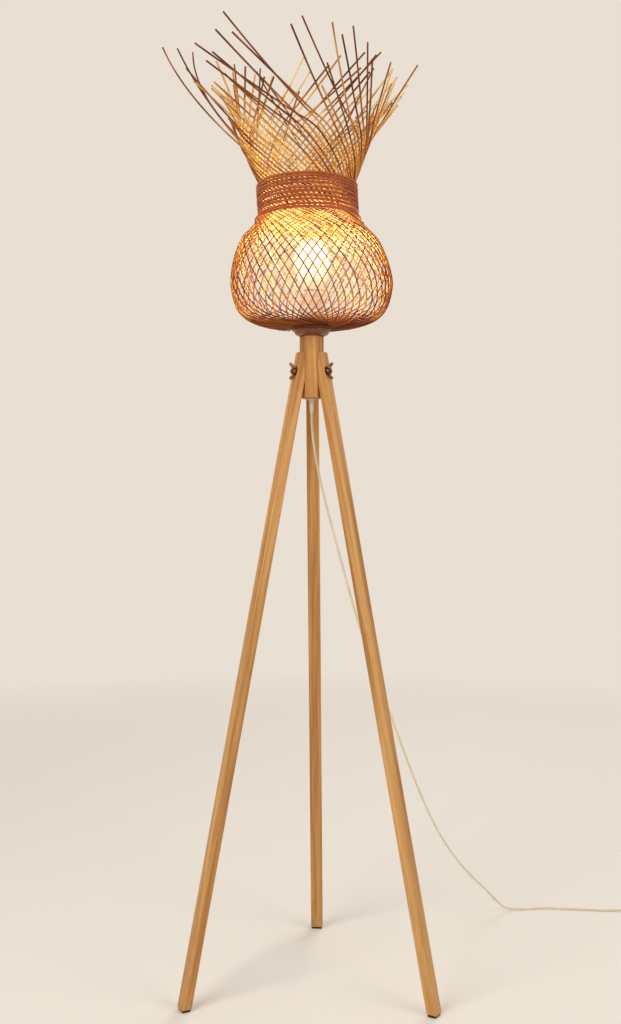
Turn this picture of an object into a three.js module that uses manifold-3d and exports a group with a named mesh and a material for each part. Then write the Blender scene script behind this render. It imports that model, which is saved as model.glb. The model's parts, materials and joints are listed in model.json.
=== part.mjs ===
// A floor lamp: a shade of crossed rattan sticks, tied in at the neck, on a wooden tripod.
// Millimetres, +Z up, the floor at z = 0.
import * as THREE from "three";
import { mergeVertices } from "three/addons/utils/BufferGeometryUtils.js";
import Module from "manifold-3d";

const wasm = await Module();
wasm.setup();

// Fits
const gap = 0.3; // between two pieces that touch
const boltGap = 0.4; // round a bolt in its hole
const overrun = 4; // how far a cutter passes the face that it cuts
const weld = 1e-4;

// Faces round a turned piece
const fineSides = 24;
const plainSides = 14;
const smallSides = 12;
const windSteps = 24; // in each turn of a wound cord

// Post, a six-sided stick that the legs are bolted to
const boltHeight = 1005;
const postAcrossFlats = 34.5;
const postAboveBolts = 59;
const postBelowBolts = 43;
const postEase = 0.8;
const wireBore = 8.6;
const nippleSocketDepth = 16;

// Legs
const legCount = 3;
const firstLegAngle = 90;
const legWidth = 21;
const legThickness = 16;
const footReach = 232; // outer face of a leg at the floor, from the post's axis
const topReach = 24.6; // outer face of a leg at its top
const legAboveBolt = 32;
const legEase = 1;
const padThickness = 3;
const padInset = 1.2;
const padCorner = 2;
const spotDiameter = 19;
const spotDepth = 1.9; // at the bolt's axis

// Leg fixings
const boltDiameter = 6;
const boltGrip = 10; // length of bolt inside the post
const boltShow = 1.5; // length of bolt past the wing nut
const washerDiameter = 16;
const washerThickness = 1.2;
const nutBaseDiameter = 12;
const nutNoseDiameter = 9.4;
const nutBodyHeight = 6;
const nutHeight = 10.2;
const nutSpan = 28;
const wingThickness = 2.6;

// Fittings under and inside the shade
const nippleDiameter = 10;
const nippleBore = 7;
const dishHeight = 11;
const dishDiameter = 59;
const dishFootDiameter = 39;
const dishRecess = 3;
const discDiameter = 66;
const discThickness = 3;
const lockWasherDiameter = 24;
const lockWasherThickness = 1.2;
const lockNutAcrossFlats = 14;
const lockNutHeight = 4;

// Shade
const stickCount = 28; // in each of the two lays
const groupSize = 4; // neighbours of a lay that share a piece of its ring
const stickWidth = 2.4;
const stickThickness = 2;
const layGap = 0.8; // between the outer and the inner lay
const ringInner = 26;
const ringOuter = 29.5;
const ringThickness = 2.2;
const hubRadius = 30; // where the sticks start to spread
const basketRadius = 133;
const basketHeight = 175; // from the ring to the neck
const widestShare = 0.4; // height of the basket's widest place, as a share of its height
const neckRadius = 78.5;
const neckHeight = 60;
const bindingDiameter = 4.6;
const bindingSlack = 0.5; // between two turns
const bandGap = 3; // more between two bands of turns
const bindingBelowTop = 3; // middle of the last turn, below the top of the neck
const wrapHeight = 60; // above the neck, over which the sticks still lie round one another
const wrapLean = 47;
const wrapFlare = 0.42; // outward for each millimetre up
const freeHeight = 85; // of a stick's free end above that, at its mean
const freeLean = 42;
const freeFlare = 0.2;
const freeApart = 0.1; // least outward lean of one lay from the other
const shadeSway = 0.05; // to the lamp's left for each millimetre above the basket's widest place

// Lampholder
const holderHeight = 43;
const holderDiameter = 39.4;
const capHeight = 14;
const capFootDiameter = 33;
const shellWall = 2.2;
const spigotDepth = 4;
const capFloor = 2.4;
const insulatorWall = 2.9;
const insulatorFloor = 3.6;
const contactThickness = 0.5;
const contactWidth = 7;
const nippleIntoCap = 3.5;

// Bulb
const bulbLength = 107.7; // from its tip contact to the top of its dome
const domeDiameter = 60;
const domeSeatDiameter = 50.6;
const domeWidestDrop = 32; // from the top of the dome to its widest place
const domeHeight = 51.7;
const domeWall = 1.4;
const housingNeckDiameter = 27.4;
const screwDiameter = 26.2;
const screwHeight = 22;
const tipDiameter = 9;
const tipHeight = 4;
const boardThickness = 1.6;

// Lead
const leadDiameter = 4;
const glandFlangeDiameter = 15;
const glandFlangeThickness = 2;
const glandTail = 22;
const glandTailDiameter = 9;
const glandTipDiameter = 6.4;
const glandPlug = 9; // length of the gland inside the post
const switchLength = 60;
const switchWidth = 24;
const switchHeight = 17;
const switchWall = 2;
const switchCorner = 9;
const switchEase = 1.5;
const rockerLength = 20;
const rockerWidth = 11;
const rockerStand = 2.4; // above the cover at its ends
const rockerDepth = 5;
const rockerTilt = 8; // with one end pressed
const rockerClearance = 0.6;
const pivotDiameter = 3;
const cheekThickness = 2;
const coilInnerRadius = 16.5;
const coilPitch = 5.2;
const coilTurns = 3; // in each of the two layers
const plugWidth = 35.3;
const plugThickness = 13.7;
const plugLength = 35;
const plugNoseWidth = 24;
const plugRelief = 22;
const plugReliefDiameter = 8.6;
const pinDiameter = 4;
const pinLength = 19;
const pinSpacing = 18.6;
const pinSeat = 3; // length of a pin inside the plug

// Where the lamp's own box has its middle, from the post's axis
const boxMiddle = { x: -30, y: 22 };

// Where the lead goes, from the post's axis: down from the post, then along the floor
const dropAzimuth = 40.8;
const dropRoute = [
  [0, 937.7],
  [1, 912],
  [5, 884],
  [14, 842],
  [27, 798],
  [44, 748],
  [66, 684],
  [97, 598],
  [132, 514],
  [170, 432],
  [212, 342],
  [250, 266],
  [292, 194],
  [332, 142],
  [378, 94],
  [424, 54],
  [456, 24],
  [482, 7],
];
const floorRoute = [
  [396, 325, 2],
  [432, 331, 2],
  [476, 330, 2],
  [522, 327, 2],
  [566, 325, 2],
  [592, 325, 3.6],
  [610, 325, 7.4],
];
const switchStart = [622, 325];
const linkRoute = [
  [700, 325, 6.4],
  [716, 325, 3],
  [732, 325, 2],
];
const coilStart = [760, 325];

// Values that follow from the sizes above
const degree = Math.PI / 180;
const fullTurn = 2 * Math.PI;
const postApothem = postAcrossFlats / 2;
const postTop = boltHeight + postAboveBolts;
const postBottom = boltHeight - postBelowBolts;
const legTop = boltHeight + legAboveBolt;
const legFoot = padThickness + gap;
const legSlope = (footReach - topReach) / legTop;
const legInward = legThickness * Math.hypot(1, legSlope); // measured level
const outerFace = (height) => footReach - legSlope * height;
const spotFloor = outerFace(boltHeight) - spotDepth;
const washerSeat = spotFloor + gap;
const nutSeat = washerSeat + washerThickness + gap;
const dishFoot = postTop + gap;
const dishRim = dishFoot + dishHeight;
const lowerDiscFoot = dishRim + gap;
const layStep = stickThickness + layGap;
const outerRingFoot = lowerDiscFoot + discThickness + gap;
const ringHeight = outerRingFoot + ringThickness / 2;
const upperDiscFoot = outerRingFoot + layStep + ringThickness + gap;
const lockWasherFoot = upperDiscFoot + discThickness + gap;
const lockNutFoot = lockWasherFoot + lockWasherThickness + gap;
const holderFoot = lockNutFoot + lockNutHeight + gap;
const nippleTop = holderFoot + capFloor + nippleIntoCap;
const nippleFoot = postTop - nippleSocketDepth + gap;
const wrapSlope = Math.atan(wrapFlare);
const widestHeight = ringHeight + widestShare * basketHeight;
const neckFoot = ringHeight + basketHeight;
const neckTop = neckFoot + neckHeight;

// A place at a distance from the axis, an azimuth and a height.
function polar(reach, azimuth, height) {
  return new THREE.Vector3(reach * Math.cos(azimuth), reach * Math.sin(azimuth), height);
}

// Solids

function solid(geometry) {
  const loose = geometry.index ? geometry.toNonIndexed() : geometry;
  const bare = new THREE.BufferGeometry();
  bare.setAttribute("position", loose.getAttribute("position"));
  const merged = mergeVertices(bare, weld);
  return new wasm.Manifold(
    new wasm.Mesh({
      numProp: 3,
      vertProperties: merged.attributes.position.array,
      triVerts: new Uint32Array(merged.index.array),
    }),
  );
}

function geometryOf(made) {
  const mesh = made.getMesh();
  const places = new Float32Array(mesh.numVert * 3);
  for (let i = 0; i < mesh.numVert; i++) {
    const from = i * mesh.numProp;
    places.set(mesh.vertProperties.subarray(from, from + 3), i * 3);
  }
  const geometry = new THREE.BufferGeometry();
  geometry.setAttribute("position", new THREE.BufferAttribute(places, 3));
  geometry.setIndex(new THREE.BufferAttribute(mesh.triVerts, 1));
  return geometry;
}

function cut(body, ...cutters) {
  const made = cutters.reduce((left, cutter) => left.subtract(solid(cutter)), solid(body));
  return geometryOf(made);
}

function join(...geometries) {
  return geometryOf(geometries.map(solid).reduce((sum, next) => sum.add(next)));
}

// A turned piece about +Z, from [radius, height] pairs that run up its outside and end on the axis
// or back at the start.
function turned(profile, sides = fineSides) {
  const points = profile.map(([radius, height]) => new THREE.Vector2(radius, height));
  return new THREE.LatheGeometry(points, sides).rotateX(Math.PI / 2);
}

function tube(outer, inner, foot, height, sides = fineSides) {
  return turned(
    [
      [inner, foot],
      [outer, foot],
      [outer, foot + height],
      [inner, foot + height],
      [inner, foot],
    ],
    sides,
  );
}

function rod(radius, foot, height, sides = plainSides) {
  return turned(
    [
      [0, foot],
      [radius, foot],
      [radius, foot + height],
      [0, foot + height],
    ],
    sides,
  );
}

// Turns a piece made about +Z so that its axis points along +X.
const alongX = (geometry) => geometry.rotateY(Math.PI / 2);

function polygonShape(sides, apothem, firstCorner) {
  const radius = apothem / Math.cos(Math.PI / sides);
  const corner = (i) => {
    const angle = firstCorner + (fullTurn * i) / sides;
    return new THREE.Vector2(radius * Math.cos(angle), radius * Math.sin(angle));
  };
  return new THREE.Shape(Array.from({ length: sides }, (_, i) => corner(i)));
}

function roundedShape(length, width, corner) {
  const shape = new THREE.Shape();
  const [x, y] = [length / 2, width / 2];
  shape.moveTo(corner - x, -y);
  shape.lineTo(x - corner, -y);
  shape.absarc(x - corner, corner - y, corner, -Math.PI / 2, 0);
  shape.lineTo(x, y - corner);
  shape.absarc(x - corner, y - corner, corner, 0, Math.PI / 2);
  shape.lineTo(corner - x, y);
  shape.absarc(corner - x, y - corner, corner, Math.PI / 2, Math.PI);
  shape.lineTo(-x, corner - y);
  shape.absarc(corner - x, corner - y, corner, Math.PI, 1.5 * Math.PI);
  return shape;
}

// A shape drawn flat and raised along +Z, with its end edges eased.
function raised(shape, height, ease, curveSegments = 4) {
  const bevel = {
    bevelEnabled: ease > 0,
    bevelThickness: ease,
    bevelSize: ease,
    bevelOffset: -ease,
    bevelSegments: 1,
  };
  return new THREE.ExtrudeGeometry(shape, {
    depth: height - 2 * ease,
    curveSegments,
    ...bevel,
  }).translate(0, 0, ease);
}

// A tube or strip through places, each with the direction that its flat side faces.
function swept(places, facings, width, thickness, sides) {
  const rings = places.map((place, i) => {
    const ahead = places[Math.min(i + 1, places.length - 1)];
    const behind = places[Math.max(i - 1, 0)];
    const along = ahead.clone().sub(behind).normalize();
    const across = facings[i].clone().cross(along).normalize();
    const out = along.clone().cross(across);
    const reach = 1 / Math.cos(Math.PI / sides);
    return Array.from({ length: sides }, (_, k) => {
      const angle = (fullTurn * (k + 0.5)) / sides;
      return place
        .clone()
        .addScaledVector(across, (reach * width * Math.cos(angle)) / 2)
        .addScaledVector(out, (reach * thickness * Math.sin(angle)) / 2);
    });
  });
  const faces = [];
  for (let i = 1; i < rings.length; i++)
    for (let k = 0; k < sides; k++) {
      const next = (k + 1) % sides;
      const [low, high] = [(i - 1) * sides, i * sides];
      faces.push(low + k, low + next, high + next, low + k, high + next, high + k);
    }
  const last = (rings.length - 1) * sides;
  for (let k = 1; k < sides - 1; k++)
    faces.push(0, k + 1, k, last, last + k, last + k + 1);
  const geometry = new THREE.BufferGeometry();
  const flat = rings.flat().flatMap((point) => point.toArray());
  geometry.setAttribute("position", new THREE.Float32BufferAttribute(flat, 3));
  geometry.setIndex(faces);
  return geometry;
}

// A wound cord, six-sided, with its corners on the cord's own surface.
function wound(places, facings, diameter) {
  const flats = diameter * Math.cos(Math.PI / 6);
  return swept(places, facings, flats, flats, 6);
}

// A round cord along a smooth curve through places.
function cordAlong(places, steps, sides = 8) {
  const section = polygonShape(sides, (leadDiameter / 2) * Math.cos(Math.PI / sides), 0);
  return new THREE.ExtrudeGeometry(section, {
    steps,
    bevelEnabled: false,
    extrudePath: new THREE.CatmullRomCurve3(places, false, "centripetal"),
  });
}

// The least gap of a wound cord to itself, measured between places that are over a diameter apart
// along it.
function leastGap(places, diameter) {
  const travelled = [0];
  for (let i = 1; i < places.length; i++)
    travelled.push(travelled[i - 1] + places[i].distanceTo(places[i - 1]));
  let least = Infinity;
  places.forEach((place, i) => {
    for (let j = i + 1; j < places.length; j++)
      if (travelled[j] - travelled[i] > 3 * diameter)
        least = Math.min(least, place.distanceTo(places[j]));
  });
  return least - diameter;
}

// Stand

function hexPost() {
  const shape = polygonShape(6, postApothem, 0);
  const body = raised(shape, postTop - postBottom, postEase).translate(0, 0, postBottom);
  const bore = rod(wireBore / 2, postBottom - overrun, postTop - postBottom + 2 * overrun);
  const socketRadius = nippleDiameter / 2 + boltGap;
  const socket = rod(socketRadius, postTop - nippleSocketDepth, nippleSocketDepth + overrun);
  const boltRadius = boltDiameter / 2 + gap;
  const holes = legAngles.map((angle) =>
    alongX(rod(boltRadius, postApothem - boltGrip, boltGrip + overrun, smallSides))
      .translate(0, 0, boltHeight)
      .rotateZ(angle),
  );
  return cut(body, bore, socket, ...holes);
}

// A leg in the plane of its own bolt: [distance from the post's axis, height] corners.
function legSide() {
  const hubFace = postApothem + gap;
  const bend = (footReach - legInward - hubFace) / legSlope;
  return [
    [outerFace(legFoot), legFoot],
    [outerFace(legTop), legTop],
    [hubFace, legTop],
    [hubFace, bend],
    [outerFace(legFoot) - legInward, legFoot],
  ];
}

function leg() {
  const corners = legSide().map(([reach, height]) => new THREE.Vector2(reach, height));
  const blank = raised(new THREE.Shape(corners.reverse()), legWidth, legEase)
    .translate(0, 0, -legWidth / 2)
    .rotateX(Math.PI / 2);
  const hole = alongX(rod(boltDiameter / 2 + boltGap, postApothem - overrun, topReach + overrun));
  const spot = alongX(rod(spotDiameter / 2, spotFloor, 2 * spotDepth + overrun));
  hole.translate(0, 0, boltHeight);
  spot.translate(0, 0, boltHeight);
  return cut(blank, hole, spot);
}

function footPad() {
  const [outer, inner] = [outerFace(legFoot), outerFace(legFoot) - legInward];
  const length = outer - inner - 2 * padInset;
  const shape = roundedShape(length, legWidth - 2 * padInset, padCorner);
  return raised(shape, padThickness, 0).translate((outer + inner) / 2, 0, 0);
}

function hangerBolt() {
  const start = postApothem - boltGrip + gap;
  const end = nutSeat + nutBodyHeight + boltShow;
  return alongX(rod(boltDiameter / 2, start, end - start, smallSides));
}

function legWasher() {
  const inner = boltDiameter / 2 + boltGap;
  return alongX(tube(washerDiameter / 2, inner, washerSeat, washerThickness, plainSides));
}

// A wing, as shares of the nut's height and of half its span.
const wingShares = [
  [0.1, 0.3],
  [0.14, 0.52],
  [0.42, 0.84],
  [0.8, 1],
  [1, 0.92],
  [0.94, 0.68],
  [0.66, 0.5],
  [0.54, 0.3],
];

function wingNut() {
  const boreRadius = boltDiameter / 2 + gap;
  const body = turned(
    [
      [boreRadius, 0],
      [nutBaseDiameter / 2, 0],
      [nutBaseDiameter / 2, nutBodyHeight / 4],
      [nutNoseDiameter / 2, nutBodyHeight],
      [boreRadius, nutBodyHeight],
      [boreRadius, 0],
    ],
    plainSides,
  );
  const outline = wingShares.map(
    ([up, out]) => new THREE.Vector2((out * nutSpan) / 2, up * nutHeight),
  );
  const smooth = new THREE.CatmullRomCurve3(
    outline.map((point) => new THREE.Vector3(point.x, point.y, 0)),
    true,
  ).getPoints(2 * outline.length);
  const shape = new THREE.Shape(smooth.slice(1).map((point) => new THREE.Vector2(point.x, point.y)));
  const ease = wingThickness / 5;
  const wing = raised(shape, wingThickness, ease)
    .translate(0, 0, -wingThickness / 2)
    .rotateX(Math.PI / 2);
  const bore = rod(boreRadius, -overrun, nutHeight + 2 * overrun);
  const both = join(body, wing, wing.clone().rotateZ(Math.PI));
  return alongX(cut(both, bore).translate(0, 0, nutSeat));
}

const legAngles = Array.from(
  { length: legCount },
  (_, i) => firstLegAngle * degree + (fullTurn * i) / legCount,
);

// Shade

// The shade's outline below its widest place: [share of the way out from the ring, share of the
// basket's height, lean of the sticks from straight up the outline in degrees].
const undersideShares = [
  [-0.015, 0, 46],
  [0.08, 0.002, 42],
  [0.39, 0.02, 26],
  [0.64, 0.052, 22],
  [0.8, 0.099, 22],
  [0.92, 0.185, 25],
  [0.99, 0.33, 29],
];
// Above it: [share of the way out from the neck, share of the basket's height, lean].
const shoulderShares = [
  [0.995, 0.45, 32],
  [0.89, 0.61, 36],
  [0.66, 0.79, 42],
  [0.36, 0.895, 48],
  [0.11, 0.985, 56],
];
// In the neck: [share of its height, lean].
const neckShares = [
  [0.12, 61],
  [0.4, 62],
  [0.68, 60],
  [1, 52],
];

function outlinePoints() {
  const under = undersideShares.map(
    ([out, up, lean]) =>
      new THREE.Vector3(
        hubRadius + out * (basketRadius - hubRadius),
        ringHeight + up * basketHeight,
        lean,
      ),
  );
  const shoulder = shoulderShares.map(
    ([out, up, lean]) =>
      new THREE.Vector3(
        neckRadius + out * (basketRadius - neckRadius),
        ringHeight + up * basketHeight,
        lean,
      ),
  );
  const neck = neckShares.map(
    ([up, lean]) => new THREE.Vector3(neckRadius, neckFoot + up * neckHeight, lean),
  );
  return [...under, ...shoulder, ...neck];
}

// The course of a stick from the ring to the top of the neck: its distance from the axis, its
// height, how far round it has gone and which way the outline faces there.
function stickCourse() {
  const points = outlinePoints();
  const curve = new THREE.CatmullRomCurve3(points, false, "catmullrom", 0.5);
  const fine = 12;
  const steps = fine * (points.length - 1);
  const course = [];
  let round = 0;
  let before = curve.getPoint(0);
  for (let i = 0; i <= steps; i++) {
    const here = curve.getPoint(i / steps);
    const [across, up] = [here.x - before.x, here.y - before.y];
    const lean = ((here.z + before.z) / 2) * degree;
    round += (Math.tan(lean) * Math.hypot(across, up) * 2) / (here.x + before.x);
    if (i % fine === 0) {
      const [behind, ahead] = [Math.max(i - 1, 0) / steps, Math.min(i + 1, steps) / steps];
      const tangent = curve.getPoint(ahead).sub(curve.getPoint(behind));
      const size = Math.hypot(tangent.x, tangent.y);
      course.push({
        reach: here.x,
        height: here.y,
        round,
        faceOut: tangent.y / size,
        faceUp: -tangent.x / size,
      });
    }
    before = here;
  }
  return course;
}

// The hand-made shade leans a little to one side.
function swayed(place) {
  place.x -= shadeSway * Math.max(0, place.z - widestHeight);
  return place;
}

// Heights of a stick's places above the neck, as shares of the height that it wraps over.
const wrapShares = [0.45, 1];

// The longer free ends: for a stick of the outer or inner lay, its free height, its lean and how
// much further out it goes.
const longEnds = {
  outer: {
    0: [159, 26, 0],
    2: [202, 25.5, 0],
    5: [213, 29.6, 0.35],
    6: [197, 34.7, 0],
    7: [146, 40, 0.08],
    11: [100, 52, 0.02],
    12: [129, 47, 0.05],
    13: [143, 48.3, 0],
    14: [127, 37.4, 0.08],
    15: [86, 36, 0],
    16: [84, 56, 0.02],
    17: [128, 44, 0],
    18: [95, 48.5, 0],
    20: [92, 48, 0],
    21: [81, 53.6, 0.05],
  },
  inner: {
    0: [92, 42.4, 0],
    1: [80, 48.3, 0],
    2: [81, 53.4, 0.05],
    3: [115, 45.8, 0.08],
    4: [90, 40.5, 0],
    6: [124, 38.7, 0.05],
    7: [125, 49.3, 0],
    15: [170, 34, 0],
    16: [185, 28, 0],
    26: [68, 48.8, 0],
    27: [72, 36.8, 0],
  },
};

// Places and facings of one stick. side is +1 in the outer lay and -1 in the inner one.
function stick(index, side, course) {
  const start = (fullTurn * index) / stickCount;
  const way = -side;
  const lift = side > 0 ? 0 : -layStep;
  const places = [];
  const facings = [];
  const put = (azimuth, { reach, height, faceOut, faceUp }) => {
    places.push(swayed(polar(reach + lift * faceOut, azimuth, height + lift * faceUp)));
    facings.push(polar(faceOut, azimuth, faceUp));
  };
  course.forEach((point) => put(start + way * point.round, point));
  let azimuth = start + way * course.at(-1).round;
  wrapShares.forEach((share, i) => {
    const climb = wrapHeight * share;
    const reach = neckRadius + wrapFlare * climb;
    const step = wrapHeight * (share - (wrapShares[i - 1] ?? 0));
    azimuth += (way * Math.tan(wrapLean * degree) * step) / reach;
    const [faceOut, faceUp] = [Math.cos(wrapSlope), -Math.sin(wrapSlope)];
    put(azimuth, { reach, height: neckTop + climb, faceOut, faceUp });
  });
  const wave = Math.sin(fullTurn * 11 * (index / stickCount) + side);
  const ripple = Math.sin(fullTurn * 17 * (index / stickCount) - side);
  const ends = side > 0 ? longEnds.outer : longEnds.inner;
  const [tall, lean, further] = ends[index] ?? [
    freeHeight * (1 + 0.25 * wave + 0.2 * ripple),
    freeLean,
    0.1 * (1 + ripple),
  ];
  const outward = freeFlare + side * (freeApart / 2 + further);
  const sidewards = way * Math.tan(lean * degree);
  const direction = polar(outward, azimuth, 1).add(polar(sidewards, azimuth + Math.PI / 2, 0));
  direction.x -= shadeSway;
  places.push(places.at(-1).clone().addScaledVector(direction, tall));
  facings.push(facings.at(-1));
  return swept(places, facings, stickWidth, stickThickness, 4);
}

// A piece of a lay's ring, which holds the bottom ends of one group of sticks.
function ringPiece(group, foot) {
  const step = fullTurn / stickCount;
  const shy = gap / (2 * ringInner);
  const start = (group * groupSize - 0.5) * step + shy;
  const end = start + groupSize * step - 2 * shy;
  const shape = new THREE.Shape();
  shape.absarc(0, 0, ringOuter, start, end);
  shape.absarc(0, 0, ringInner, end, start, true);
  return raised(shape, ringThickness, 0).translate(0, 0, foot);
}

function stickGroup(side, group) {
  const course = stickCourse();
  const foot = side > 0 ? outerRingFoot : outerRingFoot + layStep;
  const sticks = Array.from({ length: groupSize }, (_, i) =>
    stick(group * groupSize + i, side, course),
  );
  return join(ringPiece(group, foot), ...sticks);
}

// Distance from the axis at which a cord's middle lies off the outer lay's own middle, at a height
// in the neck.
function neckReach(height, off) {
  const course = stickCourse();
  const above = course.findIndex((point) => point.height > height);
  const [low, high] = [course[above - 1], course[above]];
  const share = (height - low.height) / (high.height - low.height);
  const faceOut = low.faceOut + share * (high.faceOut - low.faceOut);
  return low.reach + share * (high.reach - low.reach) + off / faceOut;
}

const bindingBands = [2, 2, 2, 4]; // turns in each band, from the lowest

// One unbroken cord, wound upwards in bands with a wider step from band to band.
function bindingPlaces() {
  const pitch = bindingDiameter + bindingSlack;
  const turns = bindingBands.reduce((sum, count) => sum + count, 0);
  const bandStarts = bindingBands
    .slice(1)
    .map((_, i) => bindingBands.slice(0, i + 1).reduce((sum, count) => sum + count, 0));
  const foot = neckTop - bindingBelowTop - turns * pitch - bandStarts.length * bandGap;
  const places = [];
  for (let i = 0; i <= turns * windSteps; i++) {
    const gone = i / windSteps;
    const steps = bandStarts.map((start) => Math.min(Math.max(gone - start + 0.5, 0), 1));
    const height = foot + gone * pitch + steps.reduce((sum, step) => sum + step) * bandGap;
    const off = (stickThickness + bindingDiameter) / 2 + gap;
    const reach = neckReach(height, off) / Math.cos(Math.PI / windSteps);
    places.push(swayed(polar(reach, fullTurn * gone, height)));
  }
  const run = new THREE.Vector3(0, bindingDiameter, 0);
  return [places[0].clone().sub(run), ...places, places.at(-1).clone().add(run)];
}

function neckBinding() {
  const places = bindingPlaces();
  const facings = places.map((place) => place.clone().setZ(0).normalize());
  console.log("neck binding, least gap to itself", leastGap(places, bindingDiameter).toFixed(2));
  return wound(places, facings, bindingDiameter);
}

// Fittings on the post

function shadeDish() {
  const hole = nippleDiameter / 2 + gap;
  const [foot, rim] = [dishFootDiameter / 2, dishDiameter / 2];
  const curve = new THREE.QuadraticBezierCurve(
    new THREE.Vector2(foot, dishFoot),
    new THREE.Vector2(rim, dishFoot + dishHeight / 4),
    new THREE.Vector2(rim, dishRim - dishHeight / 8),
  );
  const side = curve.getPoints(6).map((point) => [point.x, point.y]);
  return turned([
    [hole, dishFoot],
    ...side,
    [rim, dishRim],
    [foot, dishRim],
    [foot - dishRecess, dishRim - dishRecess],
    [hole + dishRecess, dishRim - dishRecess],
    [hole + dishRecess, dishRim],
    [hole, dishRim],
    [hole, dishFoot],
  ]);
}

function disc(foot) {
  return tube(discDiameter / 2, nippleDiameter / 2 + gap, foot, discThickness);
}

function nipple() {
  return tube(nippleDiameter / 2, nippleBore / 2, nippleFoot, nippleTop - nippleFoot, plainSides);
}

function lockWasher() {
  const inner = nippleDiameter / 2 + gap;
  return tube(lockWasherDiameter / 2, inner, lockWasherFoot, lockWasherThickness);
}

function lockNut() {
  const shape = polygonShape(6, lockNutAcrossFlats / 2, 0);
  const bore = rod(nippleDiameter / 2 + gap, -overrun, lockNutHeight + 2 * overrun);
  return cut(raised(shape, lockNutHeight, 0), bore).translate(0, 0, lockNutFoot);
}

// Lampholder

const holderTop = holderFoot + holderHeight;
const shellFoot = holderFoot + capHeight + gap;
const shellInner = holderDiameter / 2 - shellWall;
const spigotOuter = holderDiameter / 2 - 2 * shellWall - gap;
const spigotInner = spigotOuter - shellWall;
const insulatorFoot = holderFoot + capHeight + 2 * gap;
const insulatorInner = shellInner - gap - insulatorWall;
const contactOuter = insulatorInner - gap;

function lampholderCap() {
  const outer = holderDiameter / 2;
  const inner = outer - shellWall - gap;
  const hole = nippleDiameter / 2 + gap;
  const top = holderFoot + capHeight;
  return turned([
    [hole, holderFoot],
    [capFootDiameter / 2, holderFoot],
    [outer, holderFoot + capHeight / 2],
    [outer, top],
    [inner, top],
    [inner, holderFoot + capHeight / 2],
    [capFootDiameter / 2 - shellWall, holderFoot + capFloor],
    [hole, holderFoot + capFloor],
    [hole, holderFoot],
  ]);
}

function lampholderShell() {
  const outer = holderDiameter / 2;
  const lip = capHeight / 8;
  return turned([
    [spigotInner, shellFoot - spigotDepth],
    [spigotOuter, shellFoot - spigotDepth],
    [spigotOuter, shellFoot],
    [outer, shellFoot],
    [outer, holderTop - lip],
    [outer - lip, holderTop],
    [shellInner, holderTop],
    [shellInner, shellFoot + gap],
    [spigotInner, shellFoot + gap],
    [spigotInner, shellFoot - spigotDepth],
  ]);
}

function lampholderInsulator() {
  const outer = shellInner - gap;
  const foot = insulatorFoot + gap;
  const top = holderTop - shellWall;
  const hole = contactWidth / 2;
  return turned([
    [hole, foot],
    [outer, foot],
    [outer, top],
    [insulatorInner, top],
    [insulatorInner, foot + insulatorFloor],
    [hole, foot + insulatorFloor],
    [hole, foot],
  ]);
}

function screwContact() {
  const foot = insulatorFoot + gap + insulatorFloor + gap;
  const height = holderTop - shellWall - contactThickness - foot;
  return tube(contactOuter, contactOuter - contactThickness, foot, height);
}

const contactRise = 1.4;
const centreContactFoot = insulatorFoot + gap + insulatorFloor + gap;

// A leaf spring, bent up in the middle where the bulb's tip presses on it.
function centreContact() {
  const reach = contactOuter - contactThickness - gap - contactThickness;
  const spine = [
    [-reach, 0],
    [-reach / 2, 0],
    [-reach / 4, contactRise],
    [reach / 4, contactRise],
    [reach / 2, 0],
    [reach, 0],
  ];
  const above = spine.map(([x, z]) => new THREE.Vector2(x, z + contactThickness));
  const shape = new THREE.Shape([
    ...spine.map(([x, z]) => new THREE.Vector2(x, z)),
    ...above.reverse(),
  ]);
  return raised(shape, contactWidth, 0)
    .translate(0, 0, -contactWidth / 2)
    .rotateX(Math.PI / 2)
    .translate(0, 0, centreContactFoot);
}

// Bulb

const tipFoot = centreContactFoot + contactRise + contactThickness + gap;
const bulbTop = tipFoot + bulbLength;
const domeFoot = bulbTop - domeHeight;
const housingTop = domeFoot - gap;
const screwFoot = tipFoot + tipHeight;
const housingFoot = screwFoot + screwHeight + gap;

// The dome's section, drawn in by an amount.
function domeSection(inward) {
  const widest = bulbTop - domeWidestDrop;
  const [seat, wide] = [domeSeatDiameter / 2 - inward, domeDiameter / 2 - inward];
  const skirt = new THREE.QuadraticBezierCurve(
    new THREE.Vector2(seat, domeFoot),
    new THREE.Vector2(wide, domeFoot + (widest - domeFoot) / 2),
    new THREE.Vector2(wide, widest),
  );
  const crown = Array.from({ length: 6 }, (_, i) => {
    const angle = ((i + 1) * Math.PI) / 12;
    const up = (domeWidestDrop - inward) * Math.sin(angle);
    return [i === 5 ? 0 : wide * Math.cos(angle), widest + up];
  });
  return [...skirt.getPoints(3).map((point) => [point.x, point.y]), ...crown];
}

function bulbDome() {
  return turned([...domeSection(0), ...domeSection(domeWall).reverse(), domeSection(0)[0]]);
}

function bulbHousing() {
  const seat = domeSeatDiameter / 2;
  const foot = housingNeckDiameter / 2;
  const curve = new THREE.CubicBezierCurve(
    new THREE.Vector2(foot, housingFoot),
    new THREE.Vector2(foot, housingFoot + (housingTop - housingFoot) / 3),
    new THREE.Vector2(seat, housingTop - (housingTop - housingFoot) / 2),
    new THREE.Vector2(seat, housingTop),
  );
  return turned([
    [0, housingFoot],
    ...curve.getPoints(6).map((point) => [point.x, point.y]),
    [0, housingTop],
  ]);
}

function ledBoard() {
  const reach = domeSeatDiameter / 2 - domeWall - gap;
  return rod(reach, housingTop + gap, boardThickness, fineSides);
}

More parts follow.
